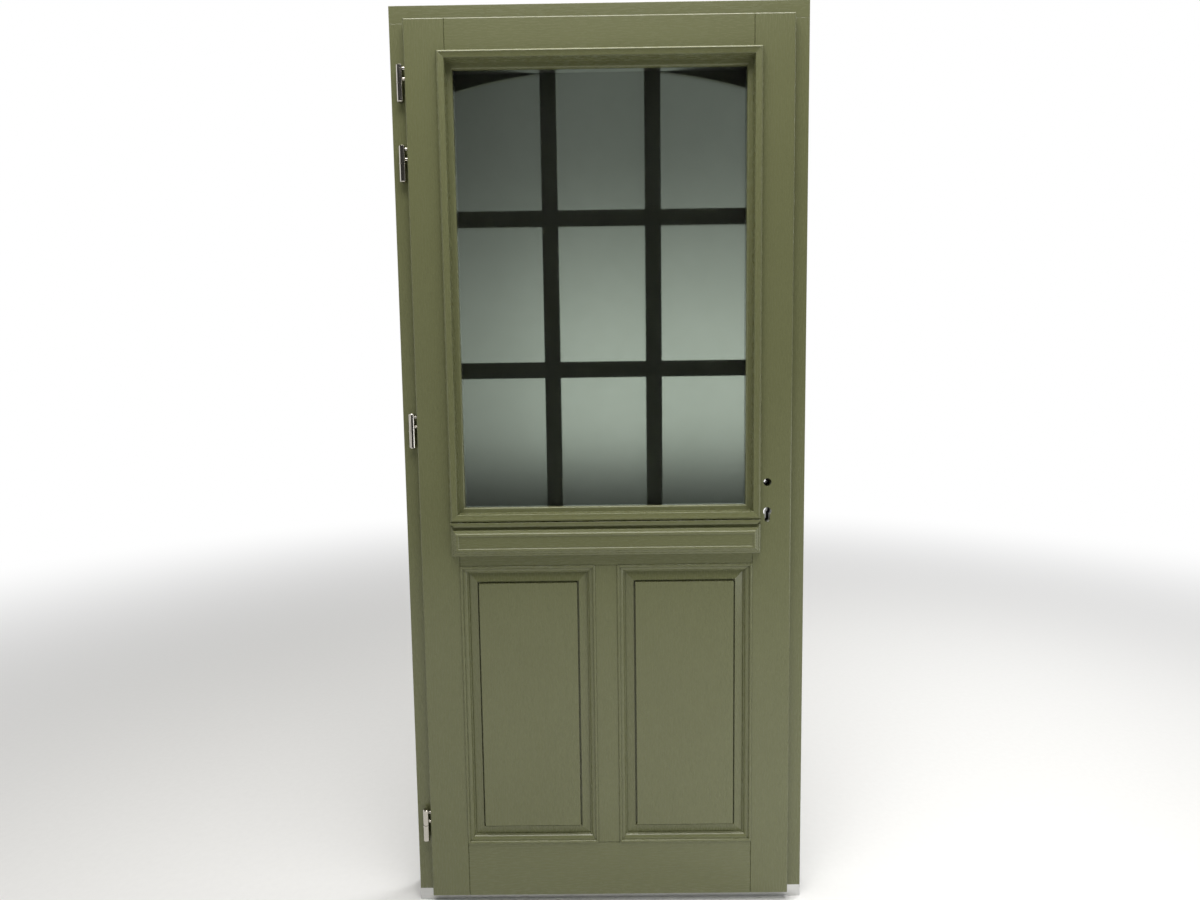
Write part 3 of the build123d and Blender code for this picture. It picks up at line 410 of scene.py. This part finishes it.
for name, solid in nodes.items():
    solid.data.materials.clear()
    solid.data.materials.append(finish_of(name))
print("finished solids", len(nodes))

# %% [markdown]
# ## Making a piece with nodes
# Beads, seals and screws are sections that follow a path, or shapes that repeat, so Geometry Nodes make
# them. A tree could stay live on the piece, but the hand-over wants plain meshes. One helper starts a tree
# with named inputs, one runs it on a small source mesh and keeps only the result, and the others are steps
# that several trees share.

# %% Steps that trees share
WHOLE = "NodeSocketInt"
OBJECT = "NodeSocketObject"
MATERIAL = "NodeSocketMaterial"


def new_tree(name, inputs):
    """Start a Geometry Nodes tree with named inputs, and give it with its two end nodes."""
    tree = bpy.data.node_groups.new(name, "GeometryNodeTree")
    tree.interface.new_socket(name="Geometry", in_out="INPUT", socket_type="NodeSocketGeometry")
    for label, kind in inputs:
        tree.interface.new_socket(name=label, in_out="INPUT", socket_type=kind)
    tree.interface.new_socket(name="Geometry", in_out="OUTPUT", socket_type="NodeSocketGeometry")
    return tree, tree.nodes.new("NodeGroupInput"), tree.nodes.new("NodeGroupOutput")


def swept_along(tree, section, stations):
    """Sweep a section along stations, both given as edges."""
    profile = add(tree, "GeometryNodeMeshToCurve", {"Mesh": section}).outputs["Curve"]
    path = add(tree, "GeometryNodeMeshToCurve", {"Mesh": stations}).outputs["Curve"]
    values = {"Curve": path, "Profile Curve": profile, "Fill Caps": True}
    return add(tree, "GeometryNodeCurveToMesh", values).outputs["Mesh"]


def swept_straight(tree, tree_in, count):
    """Sweep the source section along a straight line of stations, and give it with its coordinates."""
    stations = add(tree, "GeometryNodeMeshLine", {"Count": count, "Offset": (0, 0, 1)})
    swept = swept_along(tree, tree_in.outputs["Geometry"], stations.outputs["Mesh"])
    where = add(tree, "GeometryNodeInputPosition").outputs["Position"]
    return swept, add(tree, "ShaderNodeSeparateXYZ", {"Vector": where}).outputs


def moved_to(tree, geometry, places):
    """Move each point to its computed place."""
    return add(tree, "GeometryNodeSetPosition", {"Geometry": geometry, "Position": places}).outputs["Geometry"]


def hand_out(tree, geometry, tree_in, tree_out):
    """End a tree with real geometry that has its finish."""
    single = add(tree, "GeometryNodeRealizeInstances", {"Geometry": geometry}).outputs["Geometry"]
    values = {"Geometry": single, "Material": tree_in.outputs["Finish"]}
    feed(tree, tree_out, {"Geometry": add(tree, "GeometryNodeSetMaterial", values).outputs["Geometry"]})


print("shared steps ready")

# %% Making a piece with nodes
MILLIMETRE = 0.001
WELD_DISTANCE = 1e-6


def made_with(name, source_mesh, tree, values):
    """Run a tree on a source mesh and give the result as a plain mesh object at the origin."""
    piece = bpy.data.objects.new(name, source_mesh)
    bpy.context.scene.collection.objects.link(piece)
    run = piece.modifiers.new("build", "NODES")
    run.node_group = tree
    for item in tree.interface.items_tree:
        if item.in_out == "INPUT" and item.name in values:
            run[item.identifier] = values[item.name]
    evaluated = piece.evaluated_get(bpy.context.evaluated_depsgraph_get())
    result = bpy.data.meshes.new_from_object(evaluated)
    piece.modifiers.remove(run)
    piece.data = result
    shape = bmesh.new()
    shape.from_mesh(result)
    bmesh.ops.remove_doubles(shape, verts=shape.verts, dist=WELD_DISTANCE)
    bmesh.ops.recalc_face_normals(shape, faces=shape.faces)
    shape.to_mesh(result)
    shape.free()
    result.name = name
    print(name, len(result.vertices), "points", len(result.polygons), "faces")
    return piece


def section_mesh(name, points):
    """Make a closed loop of edges from a section's points, written in millimetres."""
    mesh = bpy.data.meshes.new(name)
    loop = [(index, (index + 1) % len(points)) for index in range(len(points))]
    mesh.from_pydata([(across * MILLIMETRE, deep * MILLIMETRE, 0) for across, deep in points], loop, [])
    return mesh


print("piece helpers ready")

# %% [markdown]
# ## Glazing beads
# The bead that holds the glass has a round lip, a flat band, a steep step, a broad face that leans towards
# the glass and a round outer edge, and its four runs meet in mitres. A section swept along a bent curve grows
# thin at the corners, so the tree sweeps it along two stations on a straight line and then moves each station
# to its mitre. The runs stand for the CAD beads, whose section is plainer.

# %% Glazing bead tree
BEAD_STATIONS = 2
bead_tree, bead_in, bead_out = new_tree(
    "mitred_bead",
    [("Middle", VECTOR), ("Along", VECTOR), ("Inward", VECTOR), ("Half Length", FLOAT), ("Finish", MATERIAL)],
)
t, given = bead_tree, bead_in.outputs
swept, parts = swept_straight(t, bead_in, BEAD_STATIONS)
reach = calc(t, "SUBTRACT", given["Half Length"], parts["X"])
run_place = calc(t, "MULTIPLY", reach, ranged(t, parts["Z"], (0.0, 1.0), (-1.0, 1.0)))
along_run = add(t, "ShaderNodeVectorMath", {"Vector": given["Along"], "Scale": run_place}, operation="SCALE")
over_run = add(t, "ShaderNodeVectorMath", {"Vector": given["Inward"], "Scale": parts["X"]}, operation="SCALE")
into_room = add(t, "ShaderNodeCombineXYZ", {"Y": calc(t, "MULTIPLY", parts["Y"], -1.0)})
placed = given["Middle"]
for offset in (along_run, over_run, into_room):
    placed = add(t, "ShaderNodeVectorMath", {0: placed, 1: offset.outputs[0]}, operation="ADD").outputs[0]
hand_out(t, moved_to(t, swept, placed), bead_in, bead_out)
print("bead tree", len(t.nodes), "nodes")

# %% Glazing bead section
BEAD_COVER = 18.0
BEAD_SEAT = -21.8
LIP_REACH = 14.0
LIP_SWELL = 1.5
ARRIS_SWELL = 0.7
SLOPE_SWELL = 1.6
ARC_STEPS = 8


def curved(start, end, rise):
    """Give the points after start up to end, on an arc that stands proud of the chord by rise."""
    across, deep = end[0] - start[0], end[1] - start[1]
    length = math.hypot(across, deep)
    points = []
    for step in range(1, ARC_STEPS + 1):
        share = step / ARC_STEPS
        swell = 4 * rise * share * (1 - share) / length
        points.append((start[0] + across * share + deep * swell, start[1] + deep * share - across * swell))
    return points


lip_start, lip_end = (LIP_REACH, -16.5), (9.5, -11.5)
step_foot, step_head = (1.8, -10.5), (1.2, 11.0)
face_start, face_end = (-0.8, 13.2), (-10.2, 14.6)
slope_start, outer_edge = (-13.2, 14.0), (-BEAD_COVER, 3.0)
bead_section = [(0.0, 0.0), (0.0, BEAD_SEAT), (LIP_REACH, BEAD_SEAT), lip_start]
bead_section += curved(lip_start, lip_end, LIP_SWELL)
bead_section += [step_foot, step_head]
bead_section += curved(step_head, face_start, ARRIS_SWELL)
bead_section += [face_end]
bead_section += curved(face_end, slope_start, ARRIS_SWELL)
bead_section += curved(slope_start, outer_edge, SLOPE_SWELL)
bead_section += [(-BEAD_COVER, 0.0)]
print("bead section", len(bead_section), "points")

# %% Glazing beads
SHARP_ANGLE = math.radians(34)
left_low, left_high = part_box("glazing_bead_left")
bottom_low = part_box("glazing_bead_bottom")[0]
top_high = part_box("glazing_bead_top")[1]
opening_half = -left_low[0] - BEAD_COVER * MILLIMETRE
opening_low = bottom_low[2] + BEAD_COVER * MILLIMETRE
opening_high = top_high[2] - BEAD_COVER * MILLIMETRE
face = left_high[1] + BEAD_SEAT * MILLIMETRE
middle_height = (opening_low + opening_high) / 2
half_height = (opening_high - opening_low) / 2


def bead_run(side, middle, along, inward, half_length, finish):
    """Make one run of the bead, let it stand for the CAD bead and ride on the leaf."""
    values = {"Middle": middle, "Along": along, "Inward": inward, "Half Length": half_length, "Finish": finish}
    run = made_with("bead_run_" + side, section_mesh("bead_section_" + side, bead_section), bead_tree, values)
    run.data.shade_smooth()
    run.data.set_sharp_from_angle(angle=SHARP_ANGLE)
    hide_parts("glazing_bead_" + side)
    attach(run, "leaf")


across_x, up_z = (1.0, 0.0, 0.0), (0.0, 0.0, 1.0)
bead_run("bottom", (0, face, opening_low), across_x, up_z, opening_half, paint_level)
bead_run("top", (0, face, opening_high), across_x, (0, 0, -1.0), opening_half, paint_level)
bead_run("left", (-opening_half, face, middle_height), up_z, across_x, half_height, paint_upright)
bead_run("right", (opening_half, face, middle_height), up_z, (-1.0, 0, 0), half_height, paint_upright)

# %% [markdown]
# ## Fillet over the planted moulding
# A flat strip closes the space between the lower bead and the planted moulding, and a deep shadow line lies
# under it. The bead's tree makes this strip too, since it only needs another section. The underside is cut
# back, because a hollow that narrows inwards turns dark without any paint.

# %% Fillet over the planted moulding
FILLET_PROUD = 13.5
FILLET_GAP = 0.3
FILLET_ROUND = 2.0
FILLET_SWELL = 0.6
FILLET_ARRIS = 1.0
UNDERCUT = 2.5
UNDERCUT_FOOT = 2.0
plant_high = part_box("lock_rail_moulding")[1]
fillet_high = (bottom_low[2] - plant_high[2]) / MILLIMETRE
round_start, round_end = (FILLET_ROUND, FILLET_PROUD), (FILLET_GAP, FILLET_PROUD - FILLET_ROUND)
fillet_section = [(FILLET_GAP, 0.0), (fillet_high - UNDERCUT, 0.0), (fillet_high - UNDERCUT, UNDERCUT_FOOT)]
fillet_section += [(fillet_high, FILLET_PROUD - FILLET_ARRIS), (fillet_high - FILLET_ARRIS, FILLET_PROUD)]
fillet_section += [round_start]
fillet_section += curved(round_start, round_end, FILLET_SWELL)
fillet_values = {
    "Middle": (0, face, bottom_low[2]), "Along": across_x, "Inward": (0, 0, -1.0),
    "Half Length": plant_high[0], "Finish": paint_level,
}
fillet = made_with("planted_fillet", section_mesh("fillet_section", fillet_section), bead_tree, fillet_values)
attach(fillet, "leaf")
print("planted_fillet", round(fillet_high, 2), "mm high")

# %% [markdown]
# ## Weather seal
# A black bulb seal is pushed into a groove of the frame's stop, and the closed leaf lies against it. Its
# section has barbs on the root, a flange on each side and a round bulb, and runs up one jamb, across the
# head and down the other. A swept curve grows thin at a square corner, so the tree sweeps the section
# along four stations on a straight line first, and then moves each station to its place, which gives
# true mitres.

# %% Weather seal tree
SEAL_STATIONS = 4
seal_tree, seal_in, seal_out = new_tree(
    "mitred_seal", [("Half Width", FLOAT), ("Foot", FLOAT), ("Top", FLOAT), ("Finish", MATERIAL)]
)
t, given = seal_tree, seal_in.outputs
swept, parts = swept_straight(t, seal_in, SEAL_STATIONS)
side = ranged(t, parts["Z"], (1.0, 2.0), (-1.0, 1.0))
nearest = calc(t, "MINIMUM", parts["Z"], calc(t, "SUBTRACT", SEAL_STATIONS - 1.0, parts["Z"]))
raised = ranged(t, nearest, (0.0, 1.0))
reach = calc(t, "ADD", given["Half Width"], parts["X"])
rise = calc(t, "SUBTRACT", calc(t, "ADD", given["Top"], parts["X"]), given["Foot"])
placed = add(t, "ShaderNodeCombineXYZ", {
    "X": calc(t, "MULTIPLY", reach, side),
    "Y": parts["Y"],
    "Z": calc(t, "MULTIPLY_ADD", rise, raised, given["Foot"]),
})
hand_out(t, moved_to(t, swept, placed.outputs["Vector"]), seal_in, seal_out)
print("seal tree", len(t.nodes), "nodes")

# %% Weather seal
STOP_FACE = 9.0
BULB_CROWN = 6.35
BULB_HALF = 3.3
FLANGE_HALF = 4.3
FLANGE_THICKNESS = 0.6
BULB_STEPS = 12
SEAL_HALF = 4.5
seal_low, seal_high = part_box("weather_seal")
seal_half_width = seal_high[0] - SEAL_HALF * MILLIMETRE
seal_top = seal_high[2] - SEAL_HALF * MILLIMETRE
root_side = [(0.6, 14.0), (1.9, 12.9), (0.8, 12.6), (1.9, 11.4), (0.8, 11.1), (0.8, STOP_FACE)]
flange_side = [(FLANGE_HALF, STOP_FACE), (FLANGE_HALF, STOP_FACE - FLANGE_THICKNESS / 2)]
bulb_base = STOP_FACE - FLANGE_THICKNESS
bulb = []
for step in range(BULB_STEPS + 1):
    angle = math.pi * step / BULB_STEPS
    bulb.append((BULB_HALF * math.cos(angle), bulb_base - (bulb_base - BULB_CROWN) * math.sin(angle)))
right_side = root_side + flange_side
left_side = [(-across, deep) for across, deep in reversed(right_side)]
weather_seal = made_with(
    "bulb_seal",
    section_mesh("bulb_seal_section", right_side + bulb + left_side),
    seal_tree,
    {"Half Width": seal_half_width, "Foot": seal_low[2], "Top": seal_top, "Finish": seal_rubber},
)
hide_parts("weather_seal")
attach(weather_seal, "frame")

# %% [markdown]
# ## Bottom seal
# Under the leaf, three soft blades wipe the threshold. They hang from one strip in a groove, so a tree
# repeats a single curved blade across the strip. Modelling each blade by hand would work as well, but a
# count and a spacing are easier to change.

# %% Bottom seal tree
blade_tree, blade_in, blade_out = new_tree(
    "wiping_blades",
    [
        ("Blade Count", WHOLE), ("Spacing", VECTOR), ("First Blade", VECTOR), ("Length", FLOAT),
        ("Strip Size", VECTOR), ("Strip Middle", VECTOR), ("Finish", MATERIAL),
    ],
)
t, given = blade_tree, blade_in.outputs
run_end = add(t, "ShaderNodeCombineXYZ", {"Z": given["Length"]}).outputs["Vector"]
run_line = add(t, "GeometryNodeMeshLine", {"Count": 2, "Offset": run_end}, mode="END_POINTS")
blade = swept_along(t, given["Geometry"], run_line.outputs["Mesh"])
laid = add(t, "GeometryNodeTransform", {"Geometry": blade, "Rotation": Euler((math.pi / 2, 0, math.pi / 2))})
spots = add(t, "GeometryNodeMeshLine", {
    "Count": given["Blade Count"], "Offset": given["Spacing"], "Start Location": given["First Blade"],
})
repeated = add(t, "GeometryNodeInstanceOnPoints", {
    "Points": spots.outputs["Mesh"], "Instance": laid.outputs["Geometry"],
})
strip = add(t, "GeometryNodeMeshCube", {"Size": given["Strip Size"]})
strip_placed = add(t, "GeometryNodeTransform", {
    "Geometry": strip.outputs["Mesh"], "Translation": given["Strip Middle"],
})
together = add(t, "GeometryNodeJoinGeometry", {"Geometry": strip_placed.outputs["Geometry"]})
feed(t, together, {"Geometry": repeated.outputs["Instances"]})
hand_out(t, together.outputs["Geometry"], blade_in, blade_out)
print("blade tree", len(t.nodes), "nodes")

# %% Bottom seal
BLADE_COUNT = 3
BLADE_REACH = 5.6
BLADE_CURVE = [(0.0, 0.0), (0.9, -1.6), (1.35, -3.4), (1.2, -BLADE_REACH)]
BLADE_THICKNESS = 0.7
BLADE_SPACING = 2.6
FIRST_BLADE = 1.1
low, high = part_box("bottom_seal")
strip_low = low[2] + BLADE_REACH * MILLIMETRE
blade_section = BLADE_CURVE + [(across - BLADE_THICKNESS, drop) for across, drop in reversed(BLADE_CURVE)]
bottom_seal = made_with(
    "wiper_seal",
    section_mesh("wiper_seal_section", blade_section),
    blade_tree,
    {
        "Blade Count": BLADE_COUNT,
        "Spacing": (0, BLADE_SPACING * MILLIMETRE, 0),
        "First Blade": (low[0], low[1] + FIRST_BLADE * MILLIMETRE, strip_low),
        "Length": high[0] - low[0],
        "Strip Size": (high[0] - low[0], high[1] - low[1], high[2] - strip_low),
        "Strip Middle": ((low[0] + high[0]) / 2, (low[1] + high[1]) / 2, (high[2] + strip_low) / 2),
        "Finish": seal_rubber,
    },
)
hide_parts("bottom_seal")
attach(bottom_seal, "leaf")

# %% [markdown]
# ## Screws
# Two screws hold the lock's faceplate and two the strike plate. All are the same raised countersunk head
# with a cross recess, so one head is modelled and a tree sets it on points, turned to face out of the
# plate. The points differ in their turn a little, as driven screws do.

# %% Screw head
HEAD_RADIUS = 3.8 * MILLIMETRE
SHOULDER_RADIUS = 0.78 * HEAD_RADIUS
HEAD_RISE = 0.6 * MILLIMETRE
RIM_RISE = 0.15 * MILLIMETRE
RECESS_FLOOR = 0.1 * MILLIMETRE
SLOT_HALF = 0.45 * MILLIMETRE
SLOT_REACH = 2.0 * MILLIMETRE
RIM_STEPS = 24


def screw_head():
    """Model one head on the XY plane: a rim, a low dome and a cross recess with a floor."""
    head = bmesh.new()
    turns = [2 * math.pi * step / RIM_STEPS for step in range(RIM_STEPS)]
    foot, rim, dome = [
        [head.verts.new((radius * math.cos(a), radius * math.sin(a), height)) for a in turns]
        for radius, height in ((HEAD_RADIUS, 0), (HEAD_RADIUS, RIM_RISE), (SHOULDER_RADIUS, HEAD_RISE))
    ]
    for below, above in ((foot, rim), (rim, dome)):
        for step in range(RIM_STEPS):
            after = (step + 1) % RIM_STEPS
            head.faces.new((below[step], below[after], above[after], above[step]))
    head.faces.new(list(reversed(foot)))
    corners = []
    for quarter in range(4):
        turn = quarter * math.pi / 2
        for along, across in ((SLOT_REACH, -SLOT_HALF), (SLOT_REACH, SLOT_HALF), (SLOT_HALF, SLOT_HALF)):
            x = along * math.cos(turn) - across * math.sin(turn)
            y = along * math.sin(turn) + across * math.cos(turn)
            corners.append((x, y))
    mouth = [head.verts.new((x, y, HEAD_RISE)) for x, y in corners]
    floor_ring = [head.verts.new((x, y, RECESS_FLOOR)) for x, y in corners]
    for step in range(len(corners)):
        after = (step + 1) % len(corners)
        head.faces.new((mouth[step], mouth[after], floor_ring[after], floor_ring[step]))
    head.faces.new(floor_ring)
    top_edges = [e for e in head.edges if any(all(v in ring for v in e.verts) for ring in (dome, mouth))]
    bmesh.ops.triangle_fill(head, edges=top_edges, use_beauty=True)
    bmesh.ops.recalc_face_normals(head, faces=head.faces)
    mesh = bpy.data.meshes.new("screw_head")
    head.to_mesh(mesh)
    head.free()
    return mesh


head_object = bpy.data.objects.new("screw_head", screw_head())
bpy.context.scene.collection.objects.link(head_object)
print("screw head", len(head_object.data.polygons), "faces")

# %% Screw tree
DRIVEN_TURN = 0.6
screw_tree, screw_in, screw_out = new_tree(
    "screws_on_points", [("Head", OBJECT), ("Facing", VECTOR), ("Finish", MATERIAL), ("Seed", WHOLE)]
)
t, given = screw_tree, screw_in.outputs
head_info = add(t, "GeometryNodeObjectInfo", {"Object": given["Head"]}, transform_space="ORIGINAL")
facing = add(t, "FunctionNodeAlignRotationToVector", {"Vector": given["Facing"]}, axis="Z")
turn_values = {2: -DRIVEN_TURN, 3: DRIVEN_TURN, "Seed": given["Seed"]}
driven = add(t, "FunctionNodeRandomValue", turn_values, data_type="FLOAT")
own_turn = add(t, "FunctionNodeAxisAngleToRotation", {"Axis": (0, 0, 1), "Angle": driven.outputs[1]})
both_turns = {"Rotation": facing.outputs["Rotation"], "Rotate By": own_turn.outputs["Rotation"]}
turned = add(t, "FunctionNodeRotateRotation", both_turns, rotation_space="LOCAL")
set_on = add(t, "GeometryNodeInstanceOnPoints", {
    "Points": given["Geometry"],
    "Instance": head_info.outputs["Geometry"],
    "Rotation": turned.outputs["Rotation"],
})
hand_out(t, set_on.outputs["Instances"], screw_in, screw_out)
print("screw tree", len(t.nodes), "nodes")

# %% Screws on their plates
SCREW_END_GAP = 9 * MILLIMETRE


def plate_screws(name, plate, outwards, body, seed):
    """Set two screws on a plate, near its ends, and let them ride on its body."""
    low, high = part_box(plate)
    face = high[0] if outwards > 0 else low[0]
    middle = (low[1] + high[1]) / 2
    spots = bpy.data.meshes.new(name + "_spots")
    spots.from_pydata([(face, middle, low[2] + SCREW_END_GAP), (face, middle, high[2] - SCREW_END_GAP)], [], [])
    values = {"Head": head_object, "Facing": (outwards, 0, 0), "Finish": plated_steel, "Seed": seed}
    screws = made_with(name, spots, screw_tree, values)
    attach(screws, body)


plate_screws("faceplate_screws", "faceplate", outwards=1, body="leaf", seed=3)
plate_screws("strike_screws", "strike_plate", outwards=-1, body="frame", seed=8)
bpy.data.objects.remove(head_object)

# %% [markdown]
# ## Floor
# The door stands on a plain pale floor that takes its shadow. Far away the floor has to meet a white
# background without a line. A curved backdrop would do that from one side only, so the floor itself
# turns to plain white with distance, for camera, mirror and glass rays alone.

# %% Floor
FLOOR_HALF = 15.0
floor_mesh = bpy.data.meshes.new("floor")
floor_corners = [(x * FLOOR_HALF, y * FLOOR_HALF, 0) for x, y in ((-1, -1), (1, -1), (1, 1), (-1, 1))]
floor_mesh.from_pydata(floor_corners, [], [(0, 1, 2, 3)])
floor = bpy.data.objects.new("floor", floor_mesh)
bpy.context.scene.collection.objects.link(floor)
print("floor", 2 * FLOOR_HALF, "m")

# %% Floor finish
FLOOR_TONES = (0.78, 0.78, 0.77, 1), (0.82, 0.82, 0.81, 1)
FADE_SPAN = (1.4, 6.0)
WHITE = (1, 1, 1, 1)
UNSCATTERED = 0.5


def seen_directly(tree):
    """Give 1 for camera, mirror and glass rays that no matt surface has scattered, and 0 for the rest."""
    path = add(tree, "ShaderNodeLightPath").outputs
    seen = calc(tree, "MAXIMUM", path["Is Camera Ray"], path["Is Glossy Ray"])
    seen = calc(tree, "MAXIMUM", seen, path["Is Transmission Ray"])
    return calc(tree, "MULTIPLY", seen, calc(tree, "LESS_THAN", path["Diffuse Depth"], UNSCATTERED))


pale_floor, tree, shader = new_material("pale_floor", Roughness=0.7)
place = object_place(tree)
speckle = noise(tree, place, Scale=60.0, Detail=3.0)
feed(tree, shader, {"Base Color": blended(tree, speckle, *FLOOR_TONES)})
away = add(tree, "ShaderNodeVectorMath", {0: place}, operation="LENGTH").outputs["Value"]
share = calc(tree, "MULTIPLY", ranged(tree, away, FADE_SPAN, smooth=True), seen_directly(tree))
white = add(tree, "ShaderNodeEmission", {"Color": WHITE, "Strength": 1.0}).outputs["Emission"]
blend = add(tree, "ShaderNodeMixShader", {"Fac": share, 1: shader.outputs["BSDF"], 2: white})
feed(tree, tree.nodes["Material Output"], {"Surface": blend.outputs["Shader"]})
floor_mesh.materials.append(pale_floor)
print("floor finish", pale_floor.name)

# %% [markdown]
# ## Light
# A wide soft lamp hangs above and in front of the door, so rolls that face up are a little brighter than the
# flat faces and the mouldings read well. A weak lamp from the right, a fill from the left and one outdoors
# for the views from behind do the rest. All are white or nearly so, because the paint should look as its
# colour is written. The world is dim as a light, and shows plain white wherever it is seen.

# %% Light


def soft_lamp(name, place, aim, size, power, colour):
    """Add a square area lamp that faces a point and isn't seen itself or through glass."""
    data = bpy.data.lights.new(name, "AREA")
    data.shape = "SQUARE"
    data.size = size
    data.energy = power
    data.color = colour
    lamp = bpy.data.objects.new(name, data)
    bpy.context.scene.collection.objects.link(lamp)
    lamp.location = place
    lamp.rotation_euler = (Vector(aim) - Vector(place)).to_track_quat("-Z", "Y").to_euler()
    lamp.visible_camera = False
    lamp.visible_transmission = False
    return lamp


# name, place, aim, size in metres, power in watts, colour
lamps = [
    soft_lamp("overhead", (0.0, -0.9, 4.0), (0.0, -0.5, 0.0), 2.4, 140, (1.0, 0.98, 0.95)),
    soft_lamp("side", (1.3, -0.9, 0.8), (0.2, 0.0, 0.5), 0.8, 5.0, (0.97, 0.98, 1.0)),
    soft_lamp("fill", (-2.2, -2.3, 1.2), (0.0, 0.0, 0.8), 1.6, 8, (1.0, 0.99, 0.97)),
    soft_lamp("outdoors", (2.6, 1.5, 2.8), (0.0, 0.1, 1.0), 1.2, 60, (1.0, 1.0, 1.0)),
]
print("lamps", [lamp.name for lamp in lamps])

# %% [markdown]
# ## Cloth and card
# Two plain sheets finish the studio. A dark cloth hangs behind the camera and only mirror and glass rays see
# it, because paint, metal and glass that face a white room look washed out. An obscure pane takes its
# brightness from what lies behind it, so a glowing card with painted light hangs outdoors, and only rays
# through the glass see it. Its painted light is brightest at mid height and turns to painted shade near the
# bottom, towards the top and to the left. Both are stage pieces and light nothing.

# %% Cloth
CLOTH_HALF = 9.0
CLOTH_TOP = 11.0
CLOTH_PLACE = -3.2
CLOTH_COLOUR = srgb(30, 30, 27)


def hung_sheet(name, half, top, depth, material):
    """Hang a flat sheet across the studio and hide it from every ray."""
    mesh = bpy.data.meshes.new(name)
    corners = [(-half, depth, 0), (half, depth, 0), (half, depth, top), (-half, depth, top)]
    mesh.from_pydata(corners, [], [(0, 1, 2, 3)])
    mesh.materials.append(material)
    sheet = bpy.data.objects.new(name, mesh)
    bpy.context.scene.collection.objects.link(sheet)
    sheet.visible_camera = False
    sheet.visible_diffuse = False
    sheet.visible_glossy = False
    sheet.visible_transmission = False
    sheet.visible_shadow = False
    return sheet


dark_cloth = new_material("dark_cloth", Roughness=0.9, Base_Color=CLOTH_COLOUR)[0]
cloth = hung_sheet("dark_cloth", CLOTH_HALF, CLOTH_TOP, CLOTH_PLACE, dark_cloth)
cloth.visible_glossy = True
cloth.visible_transmission = True
print("stage", cloth.name)

# %% Card
CARD_HALF = 3.0
CARD_TOP = 5.0
CARD_PLACE = 0.6
CARD_COLOUR = (0.96, 1.0, 0.97, 1)
# each fade paints light and shade on the card: axis, the span in metres and the brightness at its two ends
PAINTED_LIGHT_FADES = (
    ("Z", (0.94, 1.16), (0.02, 1.0)),
    ("Z", (1.25, 2.1), (1.0, 0.22)),
    ("X", (-0.5, 0.0), (0.5, 1.0)),
)
grey_card, tree, shader = new_material("grey_card")
tree.nodes.remove(shader)
parts = add(tree, "ShaderNodeSeparateXYZ", {"Vector": object_place(tree)}).outputs
painted_card_light = 1.0
# the glow is painted light, brightest at mid height, with painted shade near the bottom, towards the top and to
# the left
for axis, span, brightness in PAINTED_LIGHT_FADES:
    painted_card_light = calc(tree, "MULTIPLY", painted_card_light, ranged(tree, parts[axis], span, brightness, smooth=True))
card_glow = add(tree, "ShaderNodeEmission", {"Color": CARD_COLOUR, "Strength": painted_card_light})
feed(tree, tree.nodes["Material Output"], {"Surface": card_glow.outputs["Emission"]})
card = hung_sheet("grey_card", CARD_HALF, CARD_TOP, CARD_PLACE, grey_card)
card.visible_transmission = True
print("stage", card.name)

# %% [markdown]
# ## World
# The world is a plain white dome. It lights the door weakly, and it is shown at full white to the camera
# and in mirrors and glass, so the background stays white without more light on the object.

# %% World
WORLD_LIGHT = 0.2
world = bpy.data.worlds.new("studio")
world.use_nodes = True
bpy.context.scene.world = world
tree = world.node_tree
light = tree.nodes["Background"]
feed(tree, light, {"Color": WHITE, "Strength": WORLD_LIGHT})
seen = add(tree, "ShaderNodeBackground", {"Color": WHITE, "Strength": 1.0}).outputs["Background"]
values = {"Fac": seen_directly(tree), 1: light.outputs["Background"], 2: seen}
blend = add(tree, "ShaderNodeMixShader", values)
feed(tree, tree.nodes["World Output"], {"Surface": blend.outputs["Shader"]})
print("world", world.name, "light", WORLD_LIGHT)
